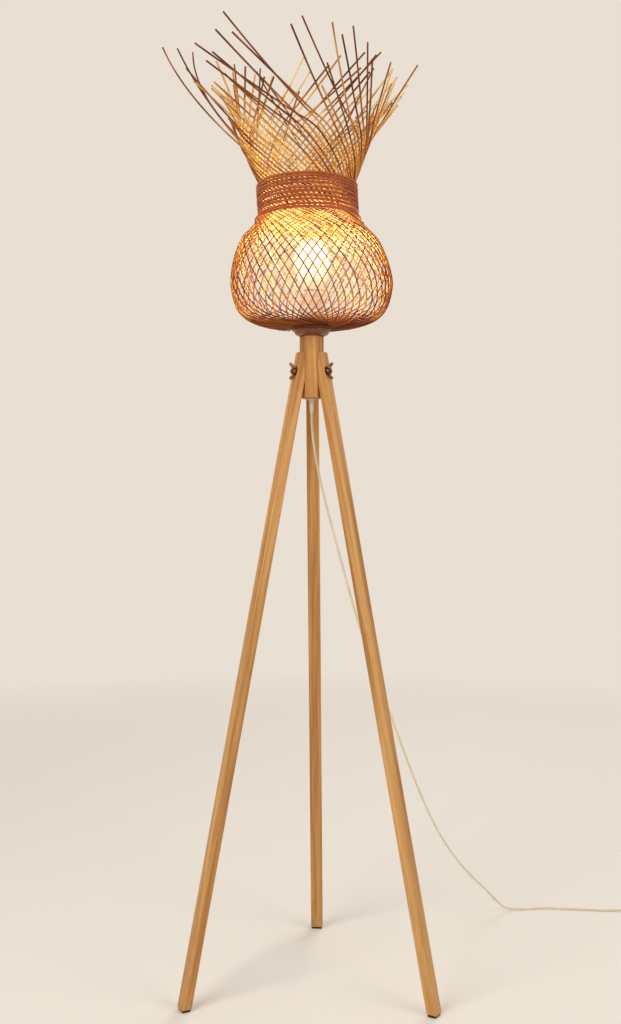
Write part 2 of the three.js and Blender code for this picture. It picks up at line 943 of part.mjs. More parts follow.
function bulbScrewCap() {
  const outer = screwDiameter / 2;
  const shoulder = (outer - tipDiameter / 2) / 2;
  return turned([
    [0, screwFoot],
    [tipDiameter / 2, screwFoot],
    [outer, screwFoot + shoulder],
    [outer, screwFoot + screwHeight],
    [0, screwFoot + screwHeight],
  ]);
}

function bulbTip() {
  const radius = tipDiameter / 2;
  return turned([
    [0, tipFoot],
    [radius / 2, tipFoot],
    [radius - gap, tipFoot + tipHeight / 2],
    [radius - gap, screwFoot - gap],
    [0, screwFoot - gap],
  ]);
}

// Lead

const glandFoot = postBottom - gap - glandFlangeThickness - glandTail;

function gland() {
  const hole = leadDiameter / 2 + gap;
  const flangeTop = postBottom - gap;
  return turned(
    [
      [hole, glandFoot],
      [glandTipDiameter / 2, glandFoot],
      [glandTailDiameter / 2, flangeTop - glandFlangeThickness],
      [glandFlangeDiameter / 2, flangeTop - glandFlangeThickness],
      [glandFlangeDiameter / 2, flangeTop],
      [wireBore / 2 - gap, flangeTop],
      [wireBore / 2 - gap, flangeTop + glandPlug],
      [hole, flangeTop + glandPlug],
      [hole, glandFoot],
    ],
    plainSides,
  );
}

function innerLead() {
  return rod(leadDiameter / 2, glandFoot, nippleTop + capFloor - glandFoot, smallSides);
}

const switchAxis = switchHeight / 2;
const place = ([x, y, z]) => new THREE.Vector3(x, y, z);

function leadDrop() {
  const top = polar(0, 0, glandFoot - gap);
  const azimuth = dropAzimuth * degree;
  const fallen = dropRoute.slice(1).map(([distance, height]) => polar(distance, azimuth, height));
  const end = place([...switchStart, switchAxis]).sub(new THREE.Vector3(gap, 0, 0));
  return cordAlong([top, ...fallen, ...floorRoute.map(place), end], 78);
}

function leadLink() {
  const start = place([...switchStart, switchAxis]).add(
    new THREE.Vector3(switchLength + gap, 0, 0),
  );
  const end = place([...coilStart, leadDiameter / 2]).sub(
    new THREE.Vector3(leadDiameter + gap, 0, 0),
  );
  return cordAlong([start, ...linkRoute.map(place), end], 8);
}

const coilOuterRadius = coilInnerRadius + coilPitch * coilTurns;
const coilMiddle = { x: coilStart[0], y: coilStart[1] + coilOuterRadius };
const coilRise = (plugThickness - leadDiameter) / 2;

// Six and a half loops: a layer that winds in, half a turn that climbs, and a layer that winds out.
function coilPlaces() {
  const turns = 2 * coilTurns + 0.5;
  const places = [];
  for (let i = 0; i <= turns * windSteps; i++) {
    const gone = i / windSteps;
    const climb = Math.min(Math.max(2 * (gone - coilTurns), 0), 1);
    const loops = Math.max(coilTurns - gone, gone - coilTurns - 0.5, 0);
    const radius = coilInnerRadius + coilPitch * loops;
    const angle = fullTurn * gone - Math.PI / 2;
    places.push(
      new THREE.Vector3(
        coilMiddle.x + radius * Math.cos(angle),
        coilMiddle.y + radius * Math.sin(angle),
        leadDiameter / 2 + coilRise * climb,
      ),
    );
  }
  const run = new THREE.Vector3(leadDiameter, 0, 0);
  return [places[0].clone().sub(run), ...places, places.at(-1).clone().sub(run)];
}

function leadCoil() {
  const places = coilPlaces();
  const facings = places.map(() => new THREE.Vector3(0, 0, 1));
  console.log("lead coil, least gap to itself", leastGap(places, leadDiameter).toFixed(2));
  return wound(places, facings, leadDiameter);
}

const rockerMiddle = { x: switchStart[0] + switchLength / 2, y: switchStart[1] };
const coverTop = switchHeight;
const pivotHeight = coverTop - switchWall - pivotDiameter / 2;

function switchHalf(foot, height) {
  const shape = roundedShape(switchLength, switchWidth, switchCorner);
  return raised(shape, height, switchEase).translate(rockerMiddle.x, rockerMiddle.y, foot);
}

function switchCavity(foot, height) {
  const [length, width] = [switchLength - 2 * switchWall, switchWidth - 2 * switchWall];
  const shape = roundedShape(length, width, switchCorner - switchWall);
  return raised(shape, height, 0).translate(rockerMiddle.x, rockerMiddle.y, foot);
}

function switchBase() {
  const shell = cut(
    switchHalf(0, switchAxis + switchEase),
    switchCavity(switchWall, switchHeight),
    new THREE.BoxGeometry(2 * switchLength, 2 * switchWidth, 2 * switchEase).translate(
      rockerMiddle.x,
      rockerMiddle.y,
      switchAxis + switchEase,
    ),
  );
  const cheekTop = pivotHeight - pivotDiameter / 2 - gap;
  const cheekFoot = switchWall / 2;
  const cheek = (side) =>
    new THREE.BoxGeometry(pivotDiameter, cheekThickness, cheekTop - cheekFoot).translate(
      rockerMiddle.x,
      rockerMiddle.y + side * (rockerWidth / 2 + rockerClearance + cheekThickness / 2),
      (cheekTop + cheekFoot) / 2,
    );
  return join(shell, cheek(-1), cheek(1));
}

function switchCover() {
  const seat = switchAxis + gap;
  const window = new THREE.BoxGeometry(
    rockerLength + 2 * rockerClearance,
    rockerWidth + 2 * rockerClearance,
    switchHeight,
  ).translate(rockerMiddle.x, rockerMiddle.y, coverTop);
  const below = new THREE.BoxGeometry(2 * switchLength, 2 * switchWidth, 2 * switchEase);
  return cut(
    switchHalf(seat - switchEase, coverTop - seat + switchEase),
    switchCavity(0, coverTop - switchWall),
    window,
    below.translate(rockerMiddle.x, rockerMiddle.y, seat - switchEase),
  );
}

function switchRocker() {
  const half = rockerLength / 2;
  const top = coverTop + rockerStand;
  const shape = new THREE.Shape([
    new THREE.Vector2(-half + rockerClearance, top - rockerDepth),
    new THREE.Vector2(half - rockerClearance, top - rockerDepth),
    new THREE.Vector2(half, top),
    new THREE.Vector2(0, coverTop + rockerStand / 3),
    new THREE.Vector2(-half, top),
  ]);
  const body = raised(shape, rockerWidth, 0)
    .translate(0, 0, -rockerWidth / 2)
    .rotateX(Math.PI / 2);
  const reach = rockerWidth / 2 + rockerClearance + cheekThickness;
  const pivot = rod(pivotDiameter / 2, -reach, 2 * reach, smallSides).rotateX(Math.PI / 2);
  return join(body.translate(0, 0, -pivotHeight), pivot)
    .rotateY(rockerTilt * degree)
    .translate(rockerMiddle.x, rockerMiddle.y, pivotHeight);
}

// The plug, made along +X from its pins' side and turned to point the way the lead arrives.
const plugEnd = coilMiddle.x - leadDiameter - gap;
const plugRow = coilMiddle.y + coilOuterRadius;

function plugBody() {
  const outline = new THREE.Shape();
  const [back, front] = [0, plugLength];
  const [narrow, wide] = [plugNoseWidth / 2, plugWidth / 2];
  outline.moveTo(back, -narrow);
  outline.quadraticCurveTo(plugLength / 2, -narrow, front - plugLength / 5, -wide);
  outline.lineTo(front, -wide);
  outline.lineTo(front, wide);
  outline.lineTo(front - plugLength / 5, wide);
  outline.quadraticCurveTo(plugLength / 2, narrow, back, narrow);
  const body = raised(outline, plugThickness, plugThickness / 6).translate(
    0,
    0,
    -plugThickness / 2,
  );
  const relief = alongX(
    turned(
      [
        [0, -plugRelief],
        [leadDiameter / 2 + 2 * gap, -plugRelief],
        [plugReliefDiameter / 2, 0],
        [plugReliefDiameter / 2, overrun],
        [0, overrun],
      ],
      plainSides,
    ),
  );
  const holes = [-1, 1].map((side) =>
    alongX(rod(pinDiameter / 2 + gap, front - pinSeat, pinSeat + overrun, smallSides)).translate(
      0,
      (side * pinSpacing) / 2,
      0,
    ),
  );
  return seatPlug(cut(join(body, relief), ...holes));
}

function plugPin(side) {
  const radius = pinDiameter / 2;
  const foot = plugLength - pinSeat + gap;
  const tip = plugLength + pinLength;
  const pin = turned(
    [
      [0, foot],
      [radius, foot],
      [radius, tip - radius / 2],
      [radius / 2, tip],
      [0, tip],
    ],
    smallSides,
  );
  return seatPlug(alongX(pin).translate(0, (side * pinSpacing) / 2, 0));
}

function seatPlug(geometry) {
  return geometry
    .rotateZ(Math.PI)
    .translate(plugEnd - plugRelief, plugRow, plugThickness / 2);
}

// Finishes

const finishes = {
  wood: { color: "#d3a871", roughness: 0.6, metalness: 0 },
  stick: { color: "#c79a5c", roughness: 0.65, metalness: 0 },
  binding: { color: "#a2542c", roughness: 0.8, metalness: 0 },
  darkWood: { color: "#5a3420", roughness: 0.55, metalness: 0 },
  board: { color: "#b98a55", roughness: 0.7, metalness: 0 },
  bronze: { color: "#4b3526", roughness: 0.45, metalness: 0.9 },
  steel: { color: "#b9bbbd", roughness: 0.35, metalness: 1 },
  brass: { color: "#c8a24c", roughness: 0.35, metalness: 1 },
  pad: { color: "#1e1c1a", roughness: 0.9, metalness: 0 },
  holder: { color: "#262422", roughness: 0.5, metalness: 0 },
  ceramic: { color: "#ebe7de", roughness: 0.4, metalness: 0 },
  dome: { color: "#fff3dc", roughness: 0.5, metalness: 0 },
  white: { color: "#efece6", roughness: 0.45, metalness: 0 },
  lead: { color: "#e2d6c2", roughness: 0.35, metalness: 0 },
};

// Assembly

const lamp = new THREE.Group();
const assembly = new THREE.Group();
assembly.position.set(-boxMiddle.x, -boxMiddle.y, 0);
lamp.add(assembly);

function add(name, finish, geometry, group = assembly) {
  const mesh = new THREE.Mesh(geometry, new THREE.MeshStandardMaterial(finishes[finish]));
  mesh.name = name;
  group.add(mesh);
}

add("hex_post", "wood", hexPost());
legAngles.forEach((angle, i) => {
  const arm = new THREE.Group();
  arm.rotation.z = angle;
  assembly.add(arm);
  add(`leg_${i + 1}`, "wood", leg(), arm);
  add(`foot_pad_${i + 1}`, "pad", footPad(), arm);
  const fixings = new THREE.Group();
  fixings.position.z = boltHeight;
  arm.add(fixings);
  add(`hanger_bolt_${i + 1}`, "bronze", hangerBolt(), fixings);
  add(`leg_washer_${i + 1}`, "bronze", legWasher(), fixings);
  add(`wing_nut_${i + 1}`, "bronze", wingNut(), fixings);
});

add("shade_dish", "darkWood", shadeDish());
add("threaded_nipple", "steel", nipple());
add("shade_lower_disc", "board", disc(lowerDiscFoot));
for (let group = 0; group < stickCount / groupSize; group++) {
  add(`outer_sticks_${group + 1}`, "stick", stickGroup(1, group));
  add(`inner_sticks_${group + 1}`, "stick", stickGroup(-1, group));
}
add("neck_binding", "binding", neckBinding());
add("shade_upper_disc", "board", disc(upperDiscFoot));
add("nipple_washer", "steel", lockWasher());
add("nipple_nut", "brass", lockNut());

add("lampholder_cap", "white", lampholderCap());
add("lampholder_shell", "white", lampholderShell());
add("lampholder_insulator", "ceramic", lampholderInsulator());
add("screw_contact", "brass", screwContact());
add("centre_contact", "brass", centreContact());

add("bulb_dome", "dome", bulbDome());
add("bulb_housing", "white", bulbHousing());
add("bulb_led_board", "white", ledBoard());
add("bulb_screw_cap", "steel", bulbScrewCap());
add("bulb_tip_contact", "steel", bulbTip());

add("inner_lead", "lead", innerLead());
add("lead_gland", "white", gland());
add("lead_drop", "lead", leadDrop());
add("switch_base", "white", switchBase());
add("switch_cover", "white", switchCover());
add("switch_rocker", "holder", switchRocker());
add("lead_link", "lead", leadLink());
add("lead_coil", "lead", leadCoil());
add("plug_body", "white", plugBody());
add("plug_pin_left", "brass", plugPin(-1));
add("plug_pin_right", "brass", plugPin(1));

export default lamp;
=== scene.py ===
"""Looks of a rattan floor lamp: a basket of crossed sticks on a wooden tripod.

Places are in metres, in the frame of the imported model. Sizes of pieces are in millimetres.
"""

import json
import logging
import math
import random
from dataclasses import dataclass
from enum import Enum
from functools import reduce

import bpy
import numpy as np
from mathutils import Matrix, Vector

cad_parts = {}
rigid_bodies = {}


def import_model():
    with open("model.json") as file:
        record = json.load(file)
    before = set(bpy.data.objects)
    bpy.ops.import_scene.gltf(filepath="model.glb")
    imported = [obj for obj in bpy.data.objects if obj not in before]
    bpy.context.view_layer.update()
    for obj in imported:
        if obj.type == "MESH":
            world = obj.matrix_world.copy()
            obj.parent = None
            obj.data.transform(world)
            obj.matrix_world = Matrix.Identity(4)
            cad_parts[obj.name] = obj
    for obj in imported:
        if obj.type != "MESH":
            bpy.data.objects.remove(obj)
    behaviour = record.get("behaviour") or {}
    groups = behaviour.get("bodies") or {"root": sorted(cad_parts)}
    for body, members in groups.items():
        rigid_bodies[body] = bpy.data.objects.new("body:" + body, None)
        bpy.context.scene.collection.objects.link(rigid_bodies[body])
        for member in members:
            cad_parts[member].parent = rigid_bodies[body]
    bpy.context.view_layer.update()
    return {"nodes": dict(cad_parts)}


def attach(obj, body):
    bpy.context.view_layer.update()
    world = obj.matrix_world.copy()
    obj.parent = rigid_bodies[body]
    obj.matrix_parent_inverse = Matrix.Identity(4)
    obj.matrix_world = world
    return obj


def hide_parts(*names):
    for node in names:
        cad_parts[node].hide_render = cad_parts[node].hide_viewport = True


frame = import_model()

log = logging.getLogger("lamp")

Piece = bpy.types.Object
Socket = bpy.types.NodeSocket
Triple = tuple[float, float, float]
Profile = list[tuple[float, float]]  # radius and height of each place, in millimetres
Course = list[tuple[float, float, float, float, float]]  # see Shade.course

MM = 0.001
AXIS = Vector((0.030, -0.022, 0.0))  # the post stands here
FULL_TURN = 2 * math.pi
SHARP = math.radians(35)  # edges over this angle are rounded
SMOOTH = math.radians(32)  # faces under this angle are shaded as one


# Colours and nodes


def colour(code: str) -> tuple[float, float, float, float]:
    """Turns an sRGB hex code into the linear colour that a shader takes.

    Args:
        code: six hex digits after a hash.

    Returns:
        Linear red, green, blue and an alpha of 1.
    """
    parts = [int(code[i : i + 2], 16) / 255 for i in (1, 3, 5)]
    linear = [p / 12.92 if p <= 0.04045 else ((p + 0.055) / 1.055) ** 2.4 for p in parts]
    return (*linear, 1.0)


def add_node(
    tree: bpy.types.NodeTree, kind: str, feeds: dict | None = None, **settings: object
) -> bpy.types.Node:
    """Adds a node to a tree.

    Args:
        tree: the tree that gets it.
        kind: the node's type, without the words that every shader node's starts with.
        feeds: for an input's name or number, the value it holds or the socket that feeds it.
        settings: the node's own settings.

    Returns:
        The new node.
    """
    node = tree.nodes.new("ShaderNode" + kind)
    for name, value in settings.items():
        setattr(node, name, value)
    for name, value in (feeds or {}).items():
        socket = node.inputs[name]
        if isinstance(value, bpy.types.NodeSocket):
            tree.links.new(value, socket)
        else:
            socket.default_value = value
    return node


@dataclass(frozen=True)
class Pattern:
    """The nodes of one tree. Each method adds to them and gives the result's socket."""

    tree: bpy.types.NodeTree

    def get(
        self, kind: str, output: str | int, feeds: dict | None = None, **settings: object
    ) -> Socket:
        """Adds a node and gives one of its outputs."""
        return add_node(self.tree, kind, feeds, **settings).outputs[output]

    def show(self, kind: str, surface: Socket) -> None:
        """Ends the tree with its output, for a Material or a World."""
        add_node(self.tree, "Output" + kind, {"Surface": surface})

    def calc(self, kind: str, a: object, b: object = 0.0) -> Socket:
        """Does one sum with two values."""
        return self.get("Math", "Value", {0: a, 1: b}, operation=kind)

    def total(self, *parts: object) -> Socket:
        """Adds up values."""
        return reduce(lambda a, b: self.calc("ADD", a, b), parts)

    def spread(
        self, source: Socket, low: float, high: float, start: float = 0.0, end: float = 1.0
    ) -> Socket:
        """Maps a value from start..end to low..high."""
        feeds = {"Value": source, "From Min": start, "From Max": end, "To Min": low, "To Max": high}
        return self.get("MapRange", "Result", feeds)

    def eased(self, source: Socket, low: float, high: float) -> Socket:
        """Maps noise to low..high, from the span that most of it lies in."""
        return self.spread(source, low, high, 0.3, 0.7)

    def upward(self, vector: Socket) -> Socket:
        """Gives a vector's upward part."""
        return self.get("SeparateXYZ", "Z", {"Vector": vector})

    def scaled(self, source: Socket, scale: Triple) -> Socket:
        """Stretches coordinates by a factor along each axis."""
        return self.get("VectorMath", "Vector", {0: source, 1: scale}, operation="MULTIPLY")

    def cloud(self, places: Socket, detail: float, roughness: float = 0.5) -> Socket:
        """Gives noise whose patches are about one unit of its coordinates wide."""
        feeds = {"Vector": places, "Scale": 1.0, "Detail": detail, "Roughness": roughness}
        return self.get("TexNoise", "Fac", feeds)

    def noise(self, places: Socket, size: Triple, detail: float = 2.0) -> Socket:
        """Gives noise whose patches have a size in millimetres along each axis."""
        scale = tuple(1 / (length * MM) for length in size)
        return self.cloud(self.scaled(places, scale), detail)

    def blended(self, amount: object, a: object, b: object, kind: str = "MIX") -> Socket:
        """Mixes colour b into colour a by an amount."""
        feeds = {0: amount, 6: a, 7: b}
        return self.get("Mix", 2, feeds, data_type="RGBA", blend_type=kind)

    def bumped(self, height: Socket, depth: float) -> Socket:
        """Gives the normal of a surface raised by height, with its full depth in millimetres."""
        return self.get("Bump", "Normal", {"Height": height, "Distance": depth * MM})

    def ramp(self, source: Socket, stops: dict[float, str]) -> Socket:
        """Turns a value into a colour.

        Args:
            source: the value, 0 to 1.
            stops: a hex colour for each place from 0 to 1.

        Returns:
            The colour.
        """
        node = add_node(self.tree, "ValToRGB", {"Fac": source})
        points = node.color_ramp.elements
        while len(points) < len(stops):
            points.new(0.5)
        for point, (place, code) in zip(points, sorted(stops.items())):
            point.position = place
            point.color = colour(code)
        return node.outputs["Color"]

    def places(self, turn: Triple = (0, 0, 0), shift: float = 0.0) -> Socket:
        """Gives Object coordinates in metres, from the post's axis.

        Args:
            turn: the way they are turned, in radians.
            shift: how far they are then shifted along Z.

        Returns:
            The coordinates.
        """
        source = self.get("TexCoord", "Object")
        moved = self.get("VectorMath", "Vector", {0: source, 1: -AXIS}, operation="ADD")
        feeds = {"Vector": moved, "Rotation": turn, "Location": (0, 0, shift)}
        return self.get("Mapping", "Vector", feeds)

    def strand(self, across: float, along: float, apart: float) -> tuple[Socket, Socket, Socket]:
        """Gives the coordinates of a rod's own map.

        Args:
            across: the stretch of one turn round the rod.
            along: the stretch of one metre along it.
            apart: how far the coordinates of different rods lie from one another.

        Returns:
            The coordinates, the metres along the rod, and the rod's seed.
        """
        split = add_node(
            self.tree, "SeparateXYZ", {"Vector": self.get("UVMap", "UV", uv_map="stick")}
        )
        seed = self.get("Attribute", "Fac", attribute_name="seed")
        metres = split.outputs["Y"]
        feeds = {
            "X": self.calc("MULTIPLY", split.outputs["X"], across),
            "Y": self.calc("MULTIPLY", metres, along),
            "Z": self.calc("MULTIPLY", seed, apart),
        }
        return self.get("CombineXYZ", "Vector", feeds), metres, seed


def emptied(owner: bpy.types.ID) -> Pattern:
    """Starts the nodes of a material or a world.

    Args:
        owner: the material or the world.

    Returns:
        Its tree, without nodes.
    """
    owner.use_nodes = True
    owner.node_tree.nodes.clear()
    return Pattern(owner.node_tree)


@dataclass(frozen=True)
class Finish:
    """A finish that pieces wear. Its name is its material's."""

    name: str

    def shade(self, p: Pattern) -> dict:
        """Adds the pattern's nodes.

        Args:
            p: the tree to add to.

        Returns:
            What feeds the main shader's inputs.
        """
        raise NotImplementedError

    def material(self) -> bpy.types.Material:
        """Gives the finish's material, made the first time it is asked for.

        Returns:
            The material.
        """
        made = bpy.data.materials.get(self.name)
        if not made:
            made = bpy.data.materials.new(self.name)
            p = emptied(made)
            p.show("Material", p.get("BsdfPrincipled", "BSDF", self.shade(p)))
        return made


@dataclass(frozen=True)
class PlanedWood(Finish):
    """Rubberwood, planed and oiled: pale, straight in the grain, with short darker pores.

    It gives the legs their soft honey colour and the long streaks that run with them.
    """

    turn: Triple = (0.0, 0.0, 0.0)
    shift: float = 0.0
    pale: str = "#dbab6b"
    plain: str = "#c79353"
    deep: str = "#a97236"

    def shade(self, p: Pattern) -> dict:
        """Adds growth rings about 6 mm apart, and pores drawn 1.2 mm wide so that they show.

        Args:
            p: the tree to add to.

        Returns:
            What feeds the main shader's inputs.
        """
        places = p.places(self.turn, self.shift)
        broad = p.noise(places, (16, 16, 420))
        bend = p.noise(places, (30, 30, 300), 1.0)
        feeds = {"Vector": p.scaled(places, (1, 1, 0.03)), "Scale": 45.0, "Distortion": 3.0}
        feeds |= {"Detail": 2.0, "Phase Offset": p.calc("MULTIPLY", bend, 9.0)}
        rings = p.get("TexWave", "Fac", feeds, bands_direction="DIAGONAL")
        pores = p.noise(places, (1.2, 1.2, 26), 3.0)
        fibre = p.noise(places, (2.6, 2.6, 120), 4.0)
        tone = p.total(p.eased(broad, -0.35, 0.55), 0.2, p.spread(rings, -0.12, 0.16))
        tone = p.total(tone, p.eased(fibre, -0.2, 0.28))
        base = p.ramp(tone, {0.0: self.deep, 0.5: self.plain, 1.0: self.pale})
        dark = p.spread(pores, 0.0, 0.55, 0.6, 0.72)
        height = p.calc("SUBTRACT", p.spread(fibre, 0, 0.5), dark)
        return {
            "Base Color": p.blended(dark, base, colour("#7f5026")),
            "Roughness": p.eased(fibre, 0.5, 0.68),
            "Normal": p.bumped(height, 0.18),
        }


@dataclass(frozen=True)
class StainedWood(Finish):
    """Beech, turned and stained red brown, then lacquered: darker flecks under a soft gloss."""

    def shade(self, p: Pattern) -> dict:
        """Adds flecks 1 mm wide and 8 mm long, as turning shows them, across the grain.

        Args:
            p: the tree to add to.

        Returns:
            What feeds the main shader's inputs.
        """
        places = p.places()
        fleck = p.noise(places, (8, 1.1, 1.1), 3.0)
        cloud = p.noise(places, (22, 14, 14))
        tone = p.total(p.eased(fleck, 0, 0.6), p.eased(cloud, -0.1, 0.4))
        return {
            "Base Color": p.ramp(tone, {0.0: "#54260e", 0.5: "#7a3f18", 1.0: "#985524"}),
            "Roughness": p.eased(fleck, 0.32, 0.46),
            "Coat Weight": 0.1,
            "Coat Roughness": 0.2,
            "Normal": p.bumped(fleck, 0.12),
        }


@dataclass(frozen=True)
class BirchBoard(Finish):
    """Birch plywood, sanded, or darkened as painted shade: an even face, darker glue lines on its
    edge.
    """

    pale: str = "#cfa873"
    deep: str = "#a97a48"
    glue: str = "#6d4526"

    def shade(self, p: Pattern) -> dict:
        """Adds 1 mm plies, seen on the edge only, and a face grain that runs along X.

        Args:
            p: the tree to add to.

        Returns:
            What feeds the main shader's inputs.
        """
        places = p.places()
        grain = p.noise(places, (60, 2.2, 60), 3.0)
        face = p.ramp(p.eased(grain, 0, 1), {0: self.deep, 1: self.pale})
        ply = p.calc("PINGPONG", p.upward(places), 1.0 * MM)
        line = p.spread(ply, 0.65, 0.0, 0.0, 0.25 * MM)
        level = p.calc("ABSOLUTE", p.upward(p.get("NewGeometry", "Normal")))
        seen = p.calc("MULTIPLY", line, p.calc("LESS_THAN", level, 0.5))
        return {
            "Base Color": p.blended(seen, face, colour(self.glue)),
            "Roughness": p.eased(grain, 0.6, 0.75),
            "Specular IOR Level": 0.25,
            "Normal": p.bumped(grain, 0.08),
        }


@dataclass(frozen=True)
class SplitRattan(Finish):
    """Rattan core, drawn to round sticks and left bare: straw to tan, with long fibres.

    Each stick has a tone of its own, darker joints along it, painted shade along its length under
    the basket and a dry surface with little gloss.
    """

    joint_spacing: float = 185.0
    joint_share: float = 0.014  # of the spacing, that a joint is dark for
    # Painted shade under the basket, in metres along each stick.
    painted_underside_shade: tuple[float, float] = (0.082, 0.1)  # metres along: dark up to, and gone from

    def shade(self, p: Pattern) -> dict:
        """Adds fibres 0.5 mm wide along the stick's own map: turns across, metres along.

        Args:
            p: the tree to add to.

        Returns:
            What feeds the main shader's inputs.
        """
        own, metres, seed = p.strand(9.0, 26.0, 57.0)
        fibre = p.cloud(own, 3.0)
        patches = p.cloud(p.scaled(own, (0.05, 0.6, 1)), 1.0)
        tone = p.get("Attribute", "Fac", attribute_name="tone")
        tone = p.total(tone, p.eased(patches, -0.2, 0.2), p.eased(fibre, -0.15, 0.15))
        stops = {0.0: "#5a2605", 0.25: "#925014", 0.5: "#c48a3d", 0.75: "#e3b263", 1.0: "#f4da9e"}
        base = p.ramp(tone, stops)
        run = p.calc("DIVIDE", metres, self.joint_spacing * MM)
        run = p.total(run, p.calc("MULTIPLY", seed, 13.0))
        joint = p.spread(p.calc("PINGPONG", run, 0.5), 0.6, 0.0, 0.0, self.joint_share)
        base = p.blended(joint, base, colour("#6f4523"))
        # Painted shade: each stick is darkened along its length under the basket.
        painted_underside_shade = p.spread(metres, 1.0, 0.0, *self.painted_underside_shade)
        return {
            "Base Color": p.blended(painted_underside_shade, base, colour("#bb8b45"), "MULTIPLY"),
            "Roughness": p.eased(fibre, 0.48, 0.66),
            "Specular IOR Level": 0.25,
            "Normal": p.bumped(fibre, 0.12),
        }


@dataclass(frozen=True)
class TwistedJute(Finish):
    """Jute yarn, dyed red brown and laid up in plies: dull, with fine hairs and pale wear."""

    def shade(self, p: Pattern) -> dict:
        """Adds fibres 0.4 mm wide that run along each ply, on its own map.

        Args:
            p: the tree to add to.

        Returns:
            What feeds the main shader's inputs.
        """
        fibre = p.cloud(p.strand(16.0, 160.0, 0.0)[0], 4.0, 0.7)
        faded = p.noise(p.places(), (45, 45, 9))
        tone = p.total(p.spread(fibre, 0.0, 0.75, 0.3, 0.72), p.eased(faded, -0.15, 0.35))
        stops = {0.0: "#793710", 0.4: "#a6511b", 0.8: "#c26b2b", 1.0: "#dc9a58"}
        return {
            "Base Color": p.ramp(tone, stops),
            "Roughness": 0.88,
            "Sheen Weight": 0.2,
            "Sheen Roughness": 0.5,
            "Normal": p.bumped(fibre, 0.35),
        }


@dataclass(frozen=True)
class Metal(Finish):
    """A plated or bare metal, with fine scratches and a duller film in patches."""

    bright: str
    dull: str
    smooth: float
    rough: float

    def shade(self, p: Pattern) -> dict:
        """Adds a patchy film 6 mm across and scratches 0.35 mm wide.

        Args:
            p: the tree to add to.

        Returns:
            What feeds the main shader's inputs.
        """
        places = p.places()
        film = p.noise(places, (6, 6, 6), 3.0)
        scratch = p.noise(places, (0.35, 0.35, 5))
        mixed = p.total(p.eased(film, 0.0, 0.6), p.spread(scratch, 0.0, 0.4, 0.35, 0.7))
        return {
            "Base Color": p.ramp(p.eased(film, 0, 1), {0: self.dull, 1: self.bright}),
            "Metallic": 1.0,
            "Roughness": p.spread(mixed, self.smooth, self.rough),
            "Normal": p.bumped(scratch, 0.03),
        }


@dataclass(frozen=True)
class Moulded(Finish):
    """A moulded plastic, resin, glaze or rubber: an even colour with a fine skin."""

    plain: str
    worn: str
    smooth: float
    rough: float
    skin: float  # its depth

    def shade(self, p: Pattern) -> dict:
        """Adds a skin with 0.6 mm grains and slow changes of tone 30 mm across.

        Args:
            p: the tree to add to.

        Returns:
            What feeds the main shader's inputs.
        """
        places = p.places()
        grain = p.noise(places, (0.6, 0.6, 0.6))
        slow = p.noise(places, (30, 30, 30))
        return {
            "Base Color": p.ramp(p.spread(slow, 0, 1, 0.35, 0.7), {0: self.worn, 1: self.plain}),
            "Roughness": p.eased(slow, self.smooth, self.rough),
            "Normal": p.bumped(grain, self.skin),
        }


@dataclass(frozen=True)
class LitOpal(Finish):
    """Opal polycarbonate on a lit lamp: an even, warm white that glows by itself.

    The glow falls off from the top of a piece to its foot.
    """

    foot: float = 1.170
    top: float = 1.205
    least: float = 1.0  # strength of the glow at the foot
    most: float = 1.0  # and at the top

    def shade(self, p: Pattern) -> dict:
        """Adds the glow, and a moulded skin with 3 mm waves.

        Args:
            p: the tree to add to.

        Returns:
            What feeds the main shader's inputs.
        """
        places = p.places()
        up = p.spread(p.upward(places), 0.0, 1.0, self.foot, self.top)
        return {
            "Base Color": colour("#fbf3e4"),
            "Roughness": 0.35,
            "Emission Color": p.ramp(up, {0.0: "#ffd79a", 0.5: "#fff0d2", 1.0: "#fff7e6"}),
            "Emission Strength": p.spread(up, self.least, self.most),
            "Normal": p.bumped(p.noise(places, (3, 3, 3)), 0.02),
        }


class Finishes:
    """The finishes of all pieces but the wooden stand's."""

    sticks = SplitRattan("split_rattan")
    yarn = TwistedJute("twisted_jute")
    dark_wood = StainedWood("stained_beech")
    board = BirchBoard("birch_plywood")
    # Painted shade: the lower clamp disc's plywood, darkened all over.
    shade_darkened_board = BirchBoard("stained_plywood", "#84491f", "#663514", "#43220e")
    # Aged bronze: brown black with rubbed, brighter places.
    bronze = Metal("aged_bronze", "#8f6b49", "#563a27", 0.3, 0.5)
    # Zinc-plated steel: cool grey, a little cloudy.
    steel = Metal("zinc_plated_steel", "#c2c4c5", "#8f9193", 0.25, 0.45)
    # Brass: yellow, darker where it has been handled.
    brass = Metal("turned_brass", "#d9b65f", "#a88340", 0.2, 0.4)
    # Rubber: nearly black and dull.
    rubber = Moulded("moulded_rubber", "#2a2725", "#1c1a18", 0.75, 0.9, 0.08)
    # Phenolic resin: brown black with a soft gloss.
    phenolic = Moulded("phenolic_resin", "#2b2724", "#211d1b", 0.3, 0.42, 0.02)
    # Glazed porcelain: warm white and glossy.
    porcelain = Moulded("glazed_porcelain", "#efeae0", "#e3dccf", 0.16, 0.28, 0.02)
    # ABS: warm white with a satin skin.
    shell = Moulded("white_abs", "#f0ede6", "#e4dfd4", 0.38, 0.5, 0.05)
    # PVC: pale and a little glossy, yellowed with age.
    lead = Moulded("pale_pvc", "#e9dfc9", "#dccfb4", 0.3, 0.42, 0.03)
    opal = LitOpal("lit_opal_polycarbonate")
    # The same opal plastic below the dome, where less of the light gets through.
    neck_opal = LitOpal("dim_opal_polycarbonate", 1.1406, 1.170, 0.12, 0.75)


# Shapes


def put(name: str, data: bpy.types.ID) -> Piece:
    """Adds an object to the scene.

    Args:
        name: its name.
        data: its mesh, curve, light or camera.

    Returns:
        The object.
    """
    piece = bpy.data.objects.new(name, data)
    bpy.context.scene.collection.objects.link(piece)
    return piece


